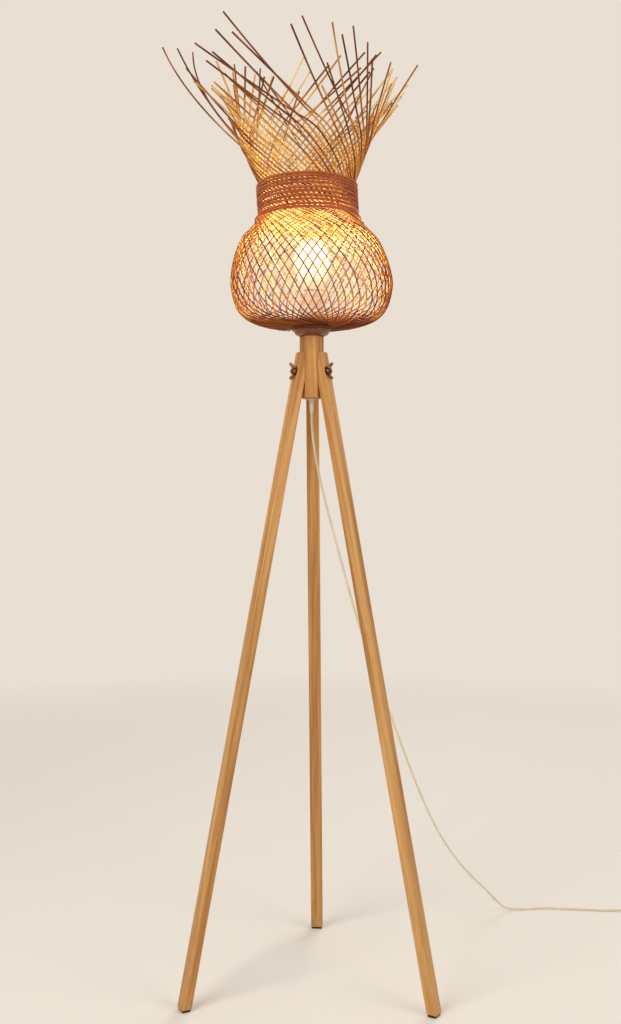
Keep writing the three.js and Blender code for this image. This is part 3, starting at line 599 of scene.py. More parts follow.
def pick(piece: Piece) -> None:
    """Selects one piece only and makes it the active one.

    Args:
        piece: the piece.
    """
    bpy.ops.object.select_all(action="DESELECT")
    piece.select_set(True)
    bpy.context.view_layer.objects.active = piece


def dress(piece: Piece, finish: Finish) -> None:
    """Gives a new piece one finish all over."""
    piece.data.materials.clear()
    piece.data.materials.append(finish.material())


def dress_node(node: str, finish: Finish) -> None:
    """Gives a solid of the model its finish, and leaves its shape alone.

    Args:
        node: the solid's name.
        finish: its finish.
    """
    solid = frame["nodes"][node]
    if not solid.material_slots:
        solid.data.materials.append(None)
    for slot in solid.material_slots:
        slot.material = finish.material()
    log.info("%s: %s", node, finish.name)


def stand_for(piece: Piece, *nodes: str) -> Piece:
    """Lets a piece stand for solids of the model and ride with their body.

    Args:
        piece: the piece.
        nodes: the solids' names.

    Returns:
        The piece.
    """
    body = frame["nodes"][nodes[0]].parent.name.split(":", 1)[1]
    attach(piece, body)
    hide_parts(*nodes)
    log.info("%s: on %s, for %s", piece.name, body, ", ".join(nodes))
    return piece


def settle(piece: Piece, name: str) -> Piece:
    """Names a piece and moves its place into its mesh.

    Args:
        piece: the new piece.
        name: its name.

    Returns:
        The piece, at the origin.
    """
    piece.name = piece.data.name = name
    pick(piece)
    bpy.ops.object.transform_apply(location=True, rotation=True, scale=True)
    return piece


def round_edges(piece: Piece, width: float, segments: int) -> None:
    """Rounds a piece's sharp edges and shades it smooth between them.

    Args:
        piece: the piece.
        width: of the rounding, in millimetres.
        segments: in each rounded edge.
    """
    pick(piece)
    bevel = piece.modifiers.new("round", "BEVEL")
    bevel.width = width * MM
    bevel.segments = segments
    bevel.limit_method = "ANGLE"
    bevel.angle_limit = SHARP
    bpy.ops.object.modifier_apply(modifier="round")
    bpy.ops.object.shade_smooth_by_angle(angle=SMOOTH)


def turned(name: str, profile: Profile, sides: int = 72) -> Piece:
    """Turns a piece about the post's axis: a ring is extruded and scaled from place to place.

    Args:
        name: the piece's name.
        profile: it runs up the outside, and either starts and ends on the axis or ends where
            it starts.
        sides: faces round it.

    Returns:
        The new piece.
    """
    least = 5e-4
    radius, height = max(profile[0][0], least), profile[0][1]
    bpy.ops.mesh.primitive_circle_add(
        vertices=sides,
        radius=radius * MM,
        fill_type="NOTHING",
        location=(AXIS.x, AXIS.y, height * MM),
    )
    bpy.ops.object.mode_set(mode="EDIT")
    bpy.ops.mesh.select_all(action="SELECT")
    for new_radius, new_height in profile[1:]:
        new_radius = max(new_radius, least)
        step = {"value": (0, 0, (new_height - height) * MM)}
        bpy.ops.mesh.extrude_edges_move(TRANSFORM_OT_translate=step)
        bpy.ops.transform.resize(
            value=(new_radius / radius, new_radius / radius, 1),
            center_override=(AXIS.x, AXIS.y, new_height * MM),
        )
        radius, height = new_radius, new_height
    bpy.ops.mesh.select_all(action="SELECT")
    bpy.ops.mesh.remove_doubles(threshold=2e-6)
    bpy.ops.mesh.normals_make_consistent(inside=False)
    bpy.ops.object.mode_set(mode="OBJECT")
    return settle(bpy.context.object, name)


def lathed(
    node: str,
    name: str,
    profile: Profile,
    finish: Finish,
    width: float,
    sides: int = 72,
    segments: int = 3,
) -> Piece:
    """Turns a piece that stands for a solid, rounds its edges and dresses it.

    Args:
        node: the solid's name.
        name: the new piece's name.
        profile: as in turned.
        finish: its finish.
        width: of the rounding, in millimetres.
        sides: faces round it.
        segments: in each rounded edge.

    Returns:
        The new piece.
    """
    piece = turned(name, profile, sides)
    round_edges(piece, width, segments)
    dress(piece, finish)
    return stand_for(piece, node)


def refined(node: str, name: str, finish: Finish, width: float, segments: int = 2) -> Piece:
    """Makes a finer copy of a solid: its triangles are merged and its edges are rounded.

    Args:
        node: the solid's name.
        name: the new piece's name.
        finish: its finish.
        width: of the rounding, in millimetres.
        segments: in each rounded edge.

    Returns:
        The new piece, which stands for the solid and rides with its body.
    """
    piece = put(name, frame["nodes"][node].data.copy())
    pick(piece)
    bpy.ops.object.mode_set(mode="EDIT")
    bpy.ops.mesh.select_all(action="SELECT")
    bpy.ops.mesh.remove_doubles(threshold=2e-5)
    bpy.ops.mesh.dissolve_limited(angle_limit=math.radians(0.5))
    bpy.ops.object.mode_set(mode="OBJECT")
    round_edges(piece, width, segments)
    dress(piece, finish)
    return stand_for(piece, node)


def through(points: list[Vector], per_span: int) -> list[Vector]:
    """Runs a smooth curve through points.

    Args:
        points: the points, in order.
        per_span: steps from each point to the next.

    Returns:
        The curve's points, the given ones among them.
    """
    ends = [2 * points[0] - points[1], *points, 2 * points[-1] - points[-2]]
    curve = [points[0].copy()]
    for a, b, c, d in zip(ends, ends[1:], ends[2:], ends[3:]):
        for i in range(1, per_span + 1):
            t = i / per_span
            square = (2 * a - 5 * b + 4 * c - d) * t**2
            cube = (3 * b - a - 3 * c + d) * t**3
            curve.append(0.5 * (2 * b + (c - a) * t + square + cube))
    return curve


def bezier(points: Profile, steps: int) -> Profile:
    """Gives places along a quadratic or cubic curve.

    Args:
        points: its control points.
        steps: from its start to its end.

    Returns:
        The places.
    """
    order = len(points) - 1
    weights = [math.comb(order, k) for k in range(order + 1)]
    made = []
    for i in range(steps + 1):
        t = i / steps
        shares = [w * (1 - t) ** (order - k) * t**k for k, w in enumerate(weights)]
        made.append(tuple(sum(s * p[axis] for s, p in zip(shares, points)) for axis in (0, 1)))
    return made


def unit_rows(rows: np.ndarray) -> np.ndarray:
    """Gives vectors, one a row, at a length of one."""
    return rows / np.linalg.norm(rows, axis=1)[:, None]


def gone_along(line: np.ndarray) -> np.ndarray:
    """Gives how far along a line of places each place is."""
    return np.concatenate([[0], np.cumsum(np.linalg.norm(np.diff(line, axis=0), axis=1))])


@dataclass
class Rod:
    """A round rod through places in metres.

    Its radius and the tone that its finish reads are one value, or one for each place.
    """

    places: list[Vector]
    radius: float | np.ndarray
    tone: float | np.ndarray = 0.0


def rods(name: str, parts: list[Rod], sides: int = 8) -> Piece:
    """Makes one piece of many closed round rods.

    Its map, named stick, has the turn round a rod across and metres along it. Its attribute tone
    has each rod's tone, and seed a number from 0 to 1 for each rod.

    Args:
        name: the piece's name.
        parts: the rods.
        sides: faces round each.

    Returns:
        The new piece.
    """
    corners, faces, maps, tones, seeds = [], [], [], [], []
    angles = np.arange(sides) * FULL_TURN / sides
    for number, rod in enumerate(parts):
        line = np.array(rod.places)
        radii = np.broadcast_to(rod.radius, len(line))
        ways, gone = unit_rows(np.gradient(line, axis=0)), gone_along(line)
        across = np.cross(ways[0], (0.31, 0.17, 0.93))  # no rod starts this way
        base = len(corners)
        for i, (place, way) in enumerate(zip(line, ways)):
            across = across - way * across.dot(way)
            across /= np.linalg.norm(across)
            out = np.cross(way, across)
            ring = np.outer(np.cos(angles), across) + np.outer(np.sin(angles), out)
            corners.extend((place + radii[i] * ring).tolist())
            if i == 0:
                continue
            low, high = base + (i - 1) * sides, base + i * sides
            for k in range(sides):
                n = (k + 1) % sides
                faces.append((low + k, low + n, high + n, high + k))
                u, v = k / sides, (k + 1) / sides
                maps.extend([u, gone[i - 1], v, gone[i - 1], v, gone[i], u, gone[i]])
        last = base + (len(line) - 1) * sides
        faces.append(tuple(base + k for k in reversed(range(sides))))
        faces.append(tuple(last + k for k in range(sides)))
        maps.extend([0.5, 0.0] * sides + [0.5, gone[-1]] * sides)
        tones.extend(np.repeat(np.broadcast_to(rod.tone, len(line)), sides))
        seeds.extend([number * 0.618 % 1] * sides * len(line))
    mesh = bpy.data.meshes.new(name)
    mesh.from_pydata(corners, [], faces)
    mesh.uv_layers.new(name="stick").data.foreach_set("uv", maps)
    mesh.attributes.new("tone", "FLOAT", "POINT").data.foreach_set("value", tones)
    mesh.attributes.new("seed", "FLOAT", "POINT").data.foreach_set("value", seeds)
    mesh.polygons.foreach_set("use_smooth", [len(face) == 4 for face in faces])
    mesh.update()
    return put(name, mesh)


def polar(reach: float, azimuth: float, height: float) -> Vector:
    """Gives a place in millimetres from its distance to the post's axis, azimuth and height."""
    return Vector((reach * math.cos(azimuth), reach * math.sin(azimuth), height))


def placed(point: Vector) -> Vector:
    """Turns a place in millimetres from the post's axis into metres in the model's frame."""
    return point * MM + AXIS


# The camera, its floor and its light


@dataclass
class Studio:
    """A level camera in front of the lamp, soft light and a plain pale floor."""

    place: Triple = (0.1063, -1.7693, 0.781)
    turn: float = 2.5  # degrees to the left
    lens: float = 37.195
    shift: tuple[float, float] = (-0.0012, -0.0039)
    aim: Triple = (0, 0, 0.95)  # what the lamps point at
    lamps: tuple = (
        # place, side in metres, power in watts, colour
        ((-1.7, -2.3, 2.5), 1.8, 52.0, "#fff6ea"),
        ((2.3, -1.7, 1.7), 1.8, 24.0, "#fff1e0"),
        ((0.9, 2.2, 2.6), 1.6, 26.0, "#fff4e6"),
    )
    even_light: float = 0.42
    ground: str = "#e9dfd2"
    floor_reach: float = 9.0
    floor_height: float = -0.0006
    fade: tuple[float, float] = (0.9, 3.2)  # from the origin, from the floor to the ground's colour

    def build(self) -> None:
        """Sets the camera, the lamps, the world and the floor."""
        self.camera()
        for lamp in self.lamps:
            self.lamp(*lamp)
        self.world()
        self.floor()
        bpy.context.scene.view_settings.view_transform = "Standard"

    def camera(self) -> None:
        """Adds the camera and makes it the scene's."""
        data = bpy.data.cameras.new("camera")
        data.lens, data.sensor_width = self.lens, 36.0
        data.shift_x, data.shift_y = self.shift
        data.clip_start, data.clip_end = 0.05, 60.0
        camera = put("camera", data)
        camera.location = self.place
        camera.rotation_euler = (math.radians(90), 0, math.radians(self.turn))
        bpy.context.scene.camera = camera

    def lamp(self, place: Triple, side: float, power: float, code: str) -> None:
        """Adds one square soft lamp that points at the middle of the object.

        Args:
            place: where it hangs.
            side: its width, in metres.
            power: in watts.
            code: its colour.
        """
        data = bpy.data.lights.new("softbox", "AREA")
        data.size, data.energy, data.color = side, power, colour(code)[:3]
        lamp = put("softbox", data)
        lamp.location = place
        aim = Vector(self.aim) - Vector(place)
        lamp.rotation_euler = aim.to_track_quat("-Z", "Y").to_euler()

    def world(self) -> None:
        """Lights the scene evenly, and shows the ground's colour to camera, glass and metal."""
        bpy.context.scene.world = bpy.data.worlds.new("studio")
        p = emptied(bpy.context.scene.world)
        light = {"Color": colour("#fff8ef"), "Strength": self.even_light}
        even = p.get("Background", 0, light)
        seen = p.get("Background", 0, {"Color": colour(self.ground)})
        path = add_node(p.tree, "LightPath").outputs
        share = p.calc("MAXIMUM", path["Is Camera Ray"], path["Is Glossy Ray"])
        share = p.calc("MAXIMUM", share, path["Is Transmission Ray"])
        p.show("World", p.get("MixShader", 0, {0: share, 1: even, 2: seen}))

    def floor(self) -> None:
        """Lays a round floor that fades into the world's colour far from the lamp."""
        bpy.ops.mesh.primitive_circle_add(
            vertices=96,
            radius=self.floor_reach,
            fill_type="NGON",
            location=(0, 0, self.floor_height),
        )
        floor = settle(bpy.context.object, "studio_floor")
        made = bpy.data.materials.new("pale_screed")
        p = emptied(made)
        out = p.get("VectorMath", "Value", {0: p.get("TexCoord", "Object")}, operation="LENGTH")
        far = p.spread(out, 0.0, 1.0, *self.fade)
        matt = p.get("BsdfDiffuse", 0, {"Color": colour("#fbfaf7")})
        glow = p.get("Emission", 0, {"Color": colour(self.ground)})
        p.show("Material", p.get("MixShader", 0, {0: far, 1: matt, 2: glow}))
        floor.data.materials.append(made)


# The lead


@dataclass
class Lead:
    """The mains lead: down from the post, along the floor to its switch, and to its plug.

    Routes are in millimetres from the post's axis.
    """

    diameter: float = 4.0
    gland_foot: float = 937.7
    gland_ribs: int = 6
    rib_pitch: float = 3.5
    drop_azimuth: float = 40.8
    drop: tuple = (  # reach and height
        (1, 912), (5, 884), (14, 842), (27, 798), (44, 748), (66, 684),
        (97, 598), (132, 514), (170, 432), (212, 342), (250, 266), (292, 194),
        (332, 142), (378, 94), (424, 54), (456, 24), (482, 7),
    )
    along: tuple = (
        (396, 325, 2), (432, 331, 2), (476, 330, 2), (522, 327, 2),
        (566, 325, 2), (592, 325, 3.6), (610, 325, 7.4),
    )
    switch_start: tuple[float, float] = (622, 325)
    switch_length: float = 60.0
    switch_axis: float = 8.5
    link: tuple = ((700, 325, 6.4), (716, 325, 3), (732, 325, 2), (748, 325, 2))
    coil_start: tuple[float, float] = (760, 325)
    coil_inner: float = 16.5
    coil_pitch: float = 5.2
    coil_turns: int = 3
    coil_rise: float = 4.85
    steps_a_turn: int = 16
    # What is on the lead: the solid, the new piece, its finish, its rounding and steps in that.
    switch: tuple = (
        ("switch_base", "switch_lower_half", Finishes.shell, 0.25, 2),
        ("switch_cover", "switch_upper_half", Finishes.shell, 0.25, 2),
        ("switch_rocker", "rocker_key", Finishes.phenolic, 0.3, 2),
    )
    plug: tuple = (
        ("plug_body", "plug_moulding", Finishes.shell, 0.5, 3),
        ("plug_pin_left", "plug_prong_left", Finishes.brass, 0.2, 2),
        ("plug_pin_right", "plug_prong_right", Finishes.brass, 0.2, 2),
    )

    def build(self) -> None:
        """Makes the two runs of lead and dresses what is on them."""
        gland = self.gland()
        switch = [refined(*row) for row in self.switch]
        plug = [refined(*row) for row in self.plug]
        first, second = self.first_route(), self.second_route()
        self.run("lead_to_switch", first, ["lead_drop"], [gland, *switch], "fitting")
        self.run("lead_to_plug", second, ["lead_coil", "lead_link"], plug, "plug")
        dress_node("inner_lead", Finishes.lead)

    def first_route(self) -> list[Vector]:
        """Leads the first run from the gland to the switch.

        Returns:
            Its places.
        """
        azimuth = math.radians(self.drop_azimuth)
        top = [Vector((0, 0, self.gland_foot)), Vector((0, 0, self.gland_foot - 12))]
        fallen = [polar(out, azimuth, height) for out, height in self.drop]
        end = Vector((*self.switch_start, self.switch_axis))
        return [*top, *fallen, *(Vector(place) for place in self.along), end]

    def second_route(self) -> list[Vector]:
        """Leads the second run from the switch inward round its coil, then outward to the plug.

        Returns:
            Its places.
        """
        x, y = self.switch_start
        start = Vector((x + self.switch_length, y, self.switch_axis))
        outer = self.coil_inner + self.coil_pitch * self.coil_turns
        middle = (self.coil_start[0], self.coil_start[1] + outer)
        wound = []
        for i in range(round((2 * self.coil_turns + 0.5) * self.steps_a_turn) + 1):
            gone = i / self.steps_a_turn
            climb = min(max(2 * (gone - self.coil_turns), 0), 1)
            loops = max(self.coil_turns - gone, gone - self.coil_turns - 0.5, 0)
            radius = self.coil_inner + self.coil_pitch * loops
            angle = FULL_TURN * gone - math.pi / 2
            x, y = middle[0] + radius * math.cos(angle), middle[1] + radius * math.sin(angle)
            wound.append(Vector((x, y, self.diameter / 2 + self.coil_rise * climb)))
        end = wound[-1] - Vector((self.diameter + 1, 0, 0))
        return [start, *(Vector(place) for place in self.link), *wound, end]

    def run(
        self, name: str, route: list[Vector], nodes: list[str], pieces: list[Piece], far_end: str
    ) -> None:
        """Args:
            name: the piece's name.
            route: its places, in millimetres from the post's axis.
            nodes: the solids that it stands for.
            pieces: what is on it; not used.
            far_end: what it ends in; not used.
        """
        places = [placed(point) for point in route]
        data = bpy.data.curves.new(name, "CURVE")
        data.dimensions = "3D"
        data.bevel_depth = self.diameter * MM / 2
        data.bevel_resolution = 4
        data.resolution_u = 5
        data.use_fill_caps = True
        spline = data.splines.new("BEZIER")
        spline.bezier_points.add(len(places) - 1)
        for point, place in zip(spline.bezier_points, places):
            point.co = place
            point.handle_left_type = point.handle_right_type = "AUTO"
        cord = put(name, data)
        cord.data.materials.append(Finishes.lead.material())
        stand_for(cord, *nodes)

    def gland(self) -> Piece:
        """Makes the gland under the post, with its ribbed and tapered tail.

        Returns:
            The gland.
        """
        z, bore, neck, flange, plug = self.gland_foot, 2.3, 4.5, 7.5, 4.0
        tail, taper = 3.2, 1.3
        profile = [(bore, z)]
        for i in range(self.gland_ribs):
            foot = z + i * self.rib_pitch
            radius = tail + taper * (i / self.gland_ribs)
            profile += [(radius, foot), (radius + 0.15, foot + 2.4), (radius - 0.5, foot + 2.6)]
            profile += [(radius - 0.45, foot + 3.3)]
        profile += [(neck, z + 21), (neck, z + 22), (flange, z + 22), (flange, z + 24)]
        profile += [(plug, z + 24), (plug, z + 33), (bore, z + 33), (bore, z)]
        return lathed("lead_gland", "gland", profile, Finishes.lead, 0.2, 48, 2)


# The shade


class Side(Enum):
    """The two lays of sticks. Each leans the other way round, and has its own draws and tones."""

    # The outer lay's lower usual tone is painted shade, the inner lay's higher one painted light.
    OUTER = (1, 11, 0.24, 0.12)
    INNER = (-1, 23, 0.46, 0.3)

    def __init__(self, sign: int, seed: int, usual: float, painted_light: float) -> None:
        """Keeps what sets a lay apart.

        Args:
            sign: 1 or -1, for the way that it leans.
            seed: of its random draws.
            usual: the tone of most of its sticks, low on the outer lay as painted shade and high on
                the inner lay as painted light.
            painted_light: painted light, the tone that their lit parts have above it.
        """
        self.sign, self.seed, self.usual, self.painted_light = sign, seed, usual, painted_light


@dataclass(frozen=True)
class FreeEnd:
    """The free end of a stick above the neck."""

    height: float
    lean: float  # in degrees, round the shade
    further: float = 0.0  # outward from the rest of its lay, for each millimetre up
    bow: float = 0.0  # its middle's way outward, as a share of its height
    # A listed end's tone is partly its own, partly painted shade when low and painted light when
    # high.
    tone: float = 0.08


# The values of the free ends that stand out, by their place in the lay. Low tones among them are
# partly painted shade and high tones partly painted light.
ENDS = {
    Side.OUTER: {
        0: (159, 26), 2: (202, 25.5, 0, 0, 0.05), 5: (213, 29.6, 0.35, 0.062),
        5.5: (210, 33.4, 0.17, 0.06), 6: (197, 34.7, 0, 0.097), 7: (146, 40, 0.08, 0.033),
        10.5: (76, 47.9), 11: (100, 52, 0.02), 11.5: (107, 50.6), 12: (129, 47, 0.05),
        12.5: (100, 61.8, 0.11), 13: (143, 48.3), 13.5: (106, 58, 0.08),
        14: (127, 37.4, 0.08), 15: (86, 36), 16: (132.8, 48.8, -0.2),
        16.5: (120, 41.6, -0.04), 17: (128, 44), 17.5: (119, 39.7), 18: (95, 48.5),
        19.5: (103, 42.4, 0, 0, 0.8), 20: (92, 48, 0, 0, 0.9),
        21: (81, 53.6, 0.05, 0, 0.8), 21.5: (67, 57, -0.04, 0, 0.9),
    },
    Side.INNER: {
        0: (92, 42.4, 0, 0, 0.95), 0.5: (73, 46.3, 0, 0, 0.9), 1: (80, 48.3),
        2: (81, 53.4, 0.05), 2.5: (107, 44, 0.02), 3: (115, 45.8, 0.08),
        3.5: (113, 41.2, 0.02), 4: (90, 40.5), 5.5: (107, 28.1),
        6: (124, 38.7, 0.05, 0, 0.8), 6.5: (117, 41.8, 0, 0, 0.9),
        7: (125, 49.3, 0, 0, 0.8), 15: (170, 34), 16: (185, 28), 26: (68, 48.8),
        26.5: (66, 49.7), 27: (72, 36.8, 0, 0, 0.9), 27.5: (53, 52.6, 0.02, 0, 0.85),
    },
}


@dataclass
class Shade:
    """Two lays of rattan sticks that cross, held at the bottom and tied in at the neck."""

    sticks: int = 28  # in each lay of the solid model; twice as many are laid here
    groups: int = 7  # solids that a lay is made of
    thin: float = 1.02  # radius of a stick in the basket
    thick: float = 1.45  # and at its free end
    swell_heights: tuple = (1252, 1310, 1395)
    lay_step: float = 2.8
    hoop_radius: float = 27.2
    ring_radius: float = 30.0
    ring_height: float = 1080.0
    basket_radius: float = 133.0
    basket_height: float = 175.0
    neck_radius: float = 78.5
    neck_height: float = 60.0
    widest_height: float = 1150.0
    wrap_height: float = 60.0
    wrap_steps: tuple[float, float] = (0.45, 1.0)
    wrap_lean: float = 47.0
    wrap_flare: float = 0.42
    free_height: float = 85.0
    free_lean: float = 42.0
    free_flare: float = 0.2
    free_apart: float = 0.1
    free_step: float = 42.0
    sway: float = 0.05
    # How uneven the sticks are.
    slip: float = 0.35  # degrees round, either way
    give: float = 0.2  # millimetres out of the outline, either way
    bows: tuple = ((-0.05, 0.09), (-0.03, 0.03), (-0.05, 0.05))  # outward, up, aside; as FreeEnd's
    thickness: tuple[float, float] = (0.92, 1.08)
    tone_spread: float = 0.15
    tone_span: tuple[float, float] = (0.04, 0.9)
    # The outline: shares of the way out or in, and of the height, then the lean in degrees.
    underside: tuple = (
        (-0.015, 0, 46), (0.08, 0.002, 42), (0.39, 0.02, 26), (0.64, 0.052, 22),
        (0.8, 0.099, 22), (0.92, 0.185, 25), (0.99, 0.33, 29),
    )
    shoulder: tuple = (
        (0.995, 0.45, 32), (0.89, 0.61, 36), (0.66, 0.79, 42),
        (0.36, 0.895, 48), (0.11, 0.985, 56),
    )
    neck: tuple = ((0.12, 61), (0.4, 62), (0.68, 60), (1, 52))
    # A stick's tone at these heights is its own and a share of its lay's painted light, which the
    # foot of the basket, its shoulder and the crown get. At the last height it is the free end's.
    tone_heights: tuple = (1088, 1112, 1190, 1245, 1330, 1375, 1440)
    tone_shares: tuple = (1.0, 0.0, 0.0, 1.0, 1.5, 1.3)
    cord_diameter: float = 4.6
    cord_bands: tuple = (2, 2, 2, 4)
    cord_pitch: float = 5.1
    band_gap: float = 3.0
    cord_foot: float = 1252.0
    cord_off: float = 3.55  # from the middle of the outer lay
    cord_steps: int = 96  # in each turn
    plies: int = 3
    ply_pitch: float = 13.0
    ply_steps: int = 9  # in each pitch
    strand: float = 0.3  # a ply's radius, as a share of the cord's diameter
    cord_slack: float = 0.22  # how far a turn strays outward
    cord_rise: float = 0.35  # and up
    bore: float = 5.3  # of the fittings, round the nipple
    disc: tuple[float, float] = (33.0, 3.0)  # radius and thickness
    disc_feet: tuple[float, float] = (1075.6, 1084.2)
    washer: tuple[float, float] = (12.0, 1.2)
    washer_foot: float = 1087.5

    def build(self) -> None:
        """Makes the sticks, the binding and the fittings that hold them."""
        course = self.course()
        for side in Side:
            self.lay(side, course)
        self.binding(course)
        self.fittings()

    def outline(self) -> list[Vector]:
        """Gives the shade's outline from the ring to the neck.

        Returns:
            Reach, height and lean in degrees of each place.
        """
        foot, points = self.ring_height, []
        for start, part in ((self.ring_radius, self.underside), (self.neck_radius, self.shoulder)):
            for out, up, lean in part:
                reach = start + out * (self.basket_radius - start)
                points.append(Vector((reach, foot + up * self.basket_height, lean)))
        foot += self.basket_height
        for up, lean in self.neck:
            points.append(Vector((self.neck_radius, foot + up * self.neck_height, lean)))
        return points

    def course(self) -> Course:
        """Gives the course of a stick from the ring to the top of the neck.

        Returns:
            For each place: reach, height, how far round it has gone, and the outward and the
            upward part of the outline's normal.
        """
        curve = through(self.outline(), 12)
        gone, made = 0.0, []
        for i, here in enumerate(curve):
            before = curve[max(i - 1, 0)]
            ahead = curve[min(i + 1, len(curve) - 1)]
            lean = math.radians((here.z + before.z) / 2)
            step = math.hypot(here.x - before.x, here.y - before.y)
            gone += math.tan(lean) * step * 2 / (here.x + before.x)
            out, up = ahead.x - before.x, ahead.y - before.y
            size = math.hypot(out, up)
            made.append((here.x, here.y, gone, up / size, -out / size))
        return made

    def swayed(self, place: Vector) -> Vector:
        """Leans a place to the left, as the hand-made shade does."""
        lean = self.sway * max(0.0, place.z - self.widest_height)
        return Vector((place.x - lean, place.y, place.z))

    def stick(self, index: float, side: Side, course: Course, chance: random.Random) -> Rod:
        """Bends one stick: up the outline, round the neck and out to its free end.

        Args:
            index: its place in the lay.
            side: the lay.
            course: the course that the whole lay follows.
            chance: where its small unevenness comes from.

        Returns:
            The stick.
        """
        way = -side.sign
        lift = 0.0 if side is Side.OUTER else -self.lay_step
        slip = math.radians(chance.uniform(-self.slip, self.slip))
        start = FULL_TURN * index / self.sticks + slip
        loose = chance.uniform(-self.give, self.give)
        places = []
        for reach, height, gone, out, up in course[::2]:
            give = lift + loose * math.sin(3.1 * gone + 6 * loose)
            spot = polar(reach + give * out, start + way * gone, height + give * up)
            places.append(self.swayed(spot))
        azimuth, top = start + way * course[-1][2], course[-1][1]
        knees = [places[-6], places[-1]]
        slope, before = math.atan(self.wrap_flare), 0.0
        for climb in (self.wrap_height * share for share in self.wrap_steps):
            reach = self.neck_radius + self.wrap_flare * climb
            azimuth += way * math.tan(math.radians(self.wrap_lean)) * (climb - before) / reach
            before = climb
            height = top + climb - lift * math.sin(slope)
            knees.append(self.swayed(polar(reach + lift * math.cos(slope), azimuth, height)))
        least, most = self.tone_span
        # The lay's usual tone: painted shade on the outer lay, painted light on the inner.
        own = min(max(chance.gauss(side.usual, self.tone_spread), least), most)
        end = self.free_end(index, side, own)
        outward = self.free_flare + side.sign * (self.free_apart / 2 + end.further)
        beside = azimuth + math.pi / 2
        ahead = polar(outward, azimuth, 1)
        ahead += polar(way * math.tan(math.radians(end.lean)), beside, 0)
        ahead.x -= self.sway
        out, up, aside = (chance.uniform(*span) for span in self.bows)
        bow = polar(out - 4 * end.bow, azimuth, up) + polar(aside, beside, 0)
        foot = knees[-1]
        steps = max(3, round(end.height * ahead.length / self.free_step))
        for i in range(1, steps + 1):
            share = i / steps
            knees.append(foot + end.height * (ahead * share + bow * (share**2 - share)))
        rod = [placed(place) for place in places + through(knees, 4)[5:]]
        heights = [place.z / MM for place in rod]
        swell = (self.thin, 0.93 * self.thick, self.thick)
        radius = np.interp(heights, self.swell_heights, swell)
        # Painted light: the lay's lit share is added at the heights of the table.
        tones = [own + side.painted_light * share for share in self.tone_shares] + [end.tone]
        tone = np.interp(heights, self.tone_heights, tones)
        return Rod(rod, radius * chance.uniform(*self.thickness) * MM, tone)

    def free_end(self, index: float, side: Side, own: float) -> FreeEnd:
        """Gives a stick's free end, from the table or else as the rest of the lay has it.

        Args:
            index: its place in the lay.
            side: the lay.
            own: the stick's own tone.

        Returns:
            The end.
        """
        if index in ENDS[side]:
            return FreeEnd(*ENDS[side][index])
        wave = math.sin(FULL_TURN * 11 * index / self.sticks + side.sign)
        ripple = math.sin(FULL_TURN * 17 * index / self.sticks - side.sign)
        height = self.free_height * (1 + 0.25 * wave + 0.2 * ripple)
        return FreeEnd(height, self.free_lean, 0.1 * (1 + ripple), tone=own + 0.12)

    def lay(self, side: Side, course: Course) -> None:
        """Makes one whole lay, and the cane hoop that its sticks start from.

        Args:
            side: the lay.
            course: the course that it follows.
        """
        lift = 0.0 if side is Side.OUTER else self.lay_step
        chance = random.Random(side.seed)
        count = 2 * self.sticks
        parts = [self.stick(i / 2, side, course, chance) for i in range(count)]
        height = self.ring_height + lift
        hoop = [placed(polar(self.hoop_radius, FULL_TURN * i / 72, height)) for i in range(72)]
        parts.append(Rod(hoop, 1.0 * MM, 0.3))
        lay = side.name.lower()
        piece = rods(f"rattan_{lay}_lay", parts)
        dress(piece, Finishes.sticks)
        stand_for(piece, *(f"{lay}_sticks_{group}" for group in range(1, self.groups + 1)))
        log.info("%d sticks", count)

    def binding(self, course: Course) -> None:
        """Winds the cord round the neck in its bands, and lays its plies round its middle.

        Args:
            course: the course of the sticks under it.
        """
        starts = [sum(self.cord_bands[:i]) for i in range(1, len(self.cord_bands))]
        turns = sum(self.cord_bands)
        reaches, heights, _, normals, _ = zip(*course)
        middle = []
        for i in range(turns * self.cord_steps + 1):
            gone = i / self.cord_steps
            wider = sum(min(max(gone - start + 0.5, 0), 1) for start in starts)
            height = self.cord_foot + gone * self.cord_pitch + wider * self.band_gap
            faces_out = float(np.interp(height, heights, normals))
            reach = float(np.interp(height, heights, reaches)) + self.cord_off / faces_out
            slack = self.cord_slack * math.sin(5 * FULL_TURN * gone + 0.7 * gone)
            rise = self.cord_rise * math.sin(2.3 * FULL_TURN * gone + 1.1) * math.sin(0.9 * gone)
            middle.append(self.swayed(polar(reach + slack, FULL_TURN * gone, height + rise)))
        line = np.array(middle)
        gone = gone_along(line)
        fine = np.arange(0, gone[-1], self.ply_pitch / self.ply_steps)
        spine = np.stack([np.interp(fine, gone, line[:, k]) for k in range(3)], axis=1)
        lean = self.sway * np.maximum(0, spine[:, 2] - self.widest_height)
        out = unit_rows(spine * (1, 1, 0) + np.outer(lean, (1, 0, 0)))
        up = np.cross(unit_rows(np.gradient(spine, axis=0)), out)
        strand = self.cord_diameter * self.strand
        offset = self.cord_diameter / 2 - strand
        parts = []
        for ply in range(self.plies):
            turn = FULL_TURN * (fine / self.ply_pitch + ply / self.plies)
            path = spine + offset * (np.cos(turn)[:, None] * out + np.sin(turn)[:, None] * up)
            parts.append(Rod([placed(Vector(p)) for p in path], strand * MM))
        piece = rods("neck_cord", parts)
        dress(piece, Finishes.yarn)
        stand_for(piece, "neck_binding")
        log.info("%.1f m of cord in %d turns", gone[-1] * MM, turns)

    def flat_ring(self, foot: float, radius: float, thickness: float) -> Profile:
        """Gives the section of a disc with the nipple's hole in it."""
        inner, top = self.bore, foot + thickness
        return [(inner, foot), (radius, foot), (radius, top), (inner, top), (inner, foot)]

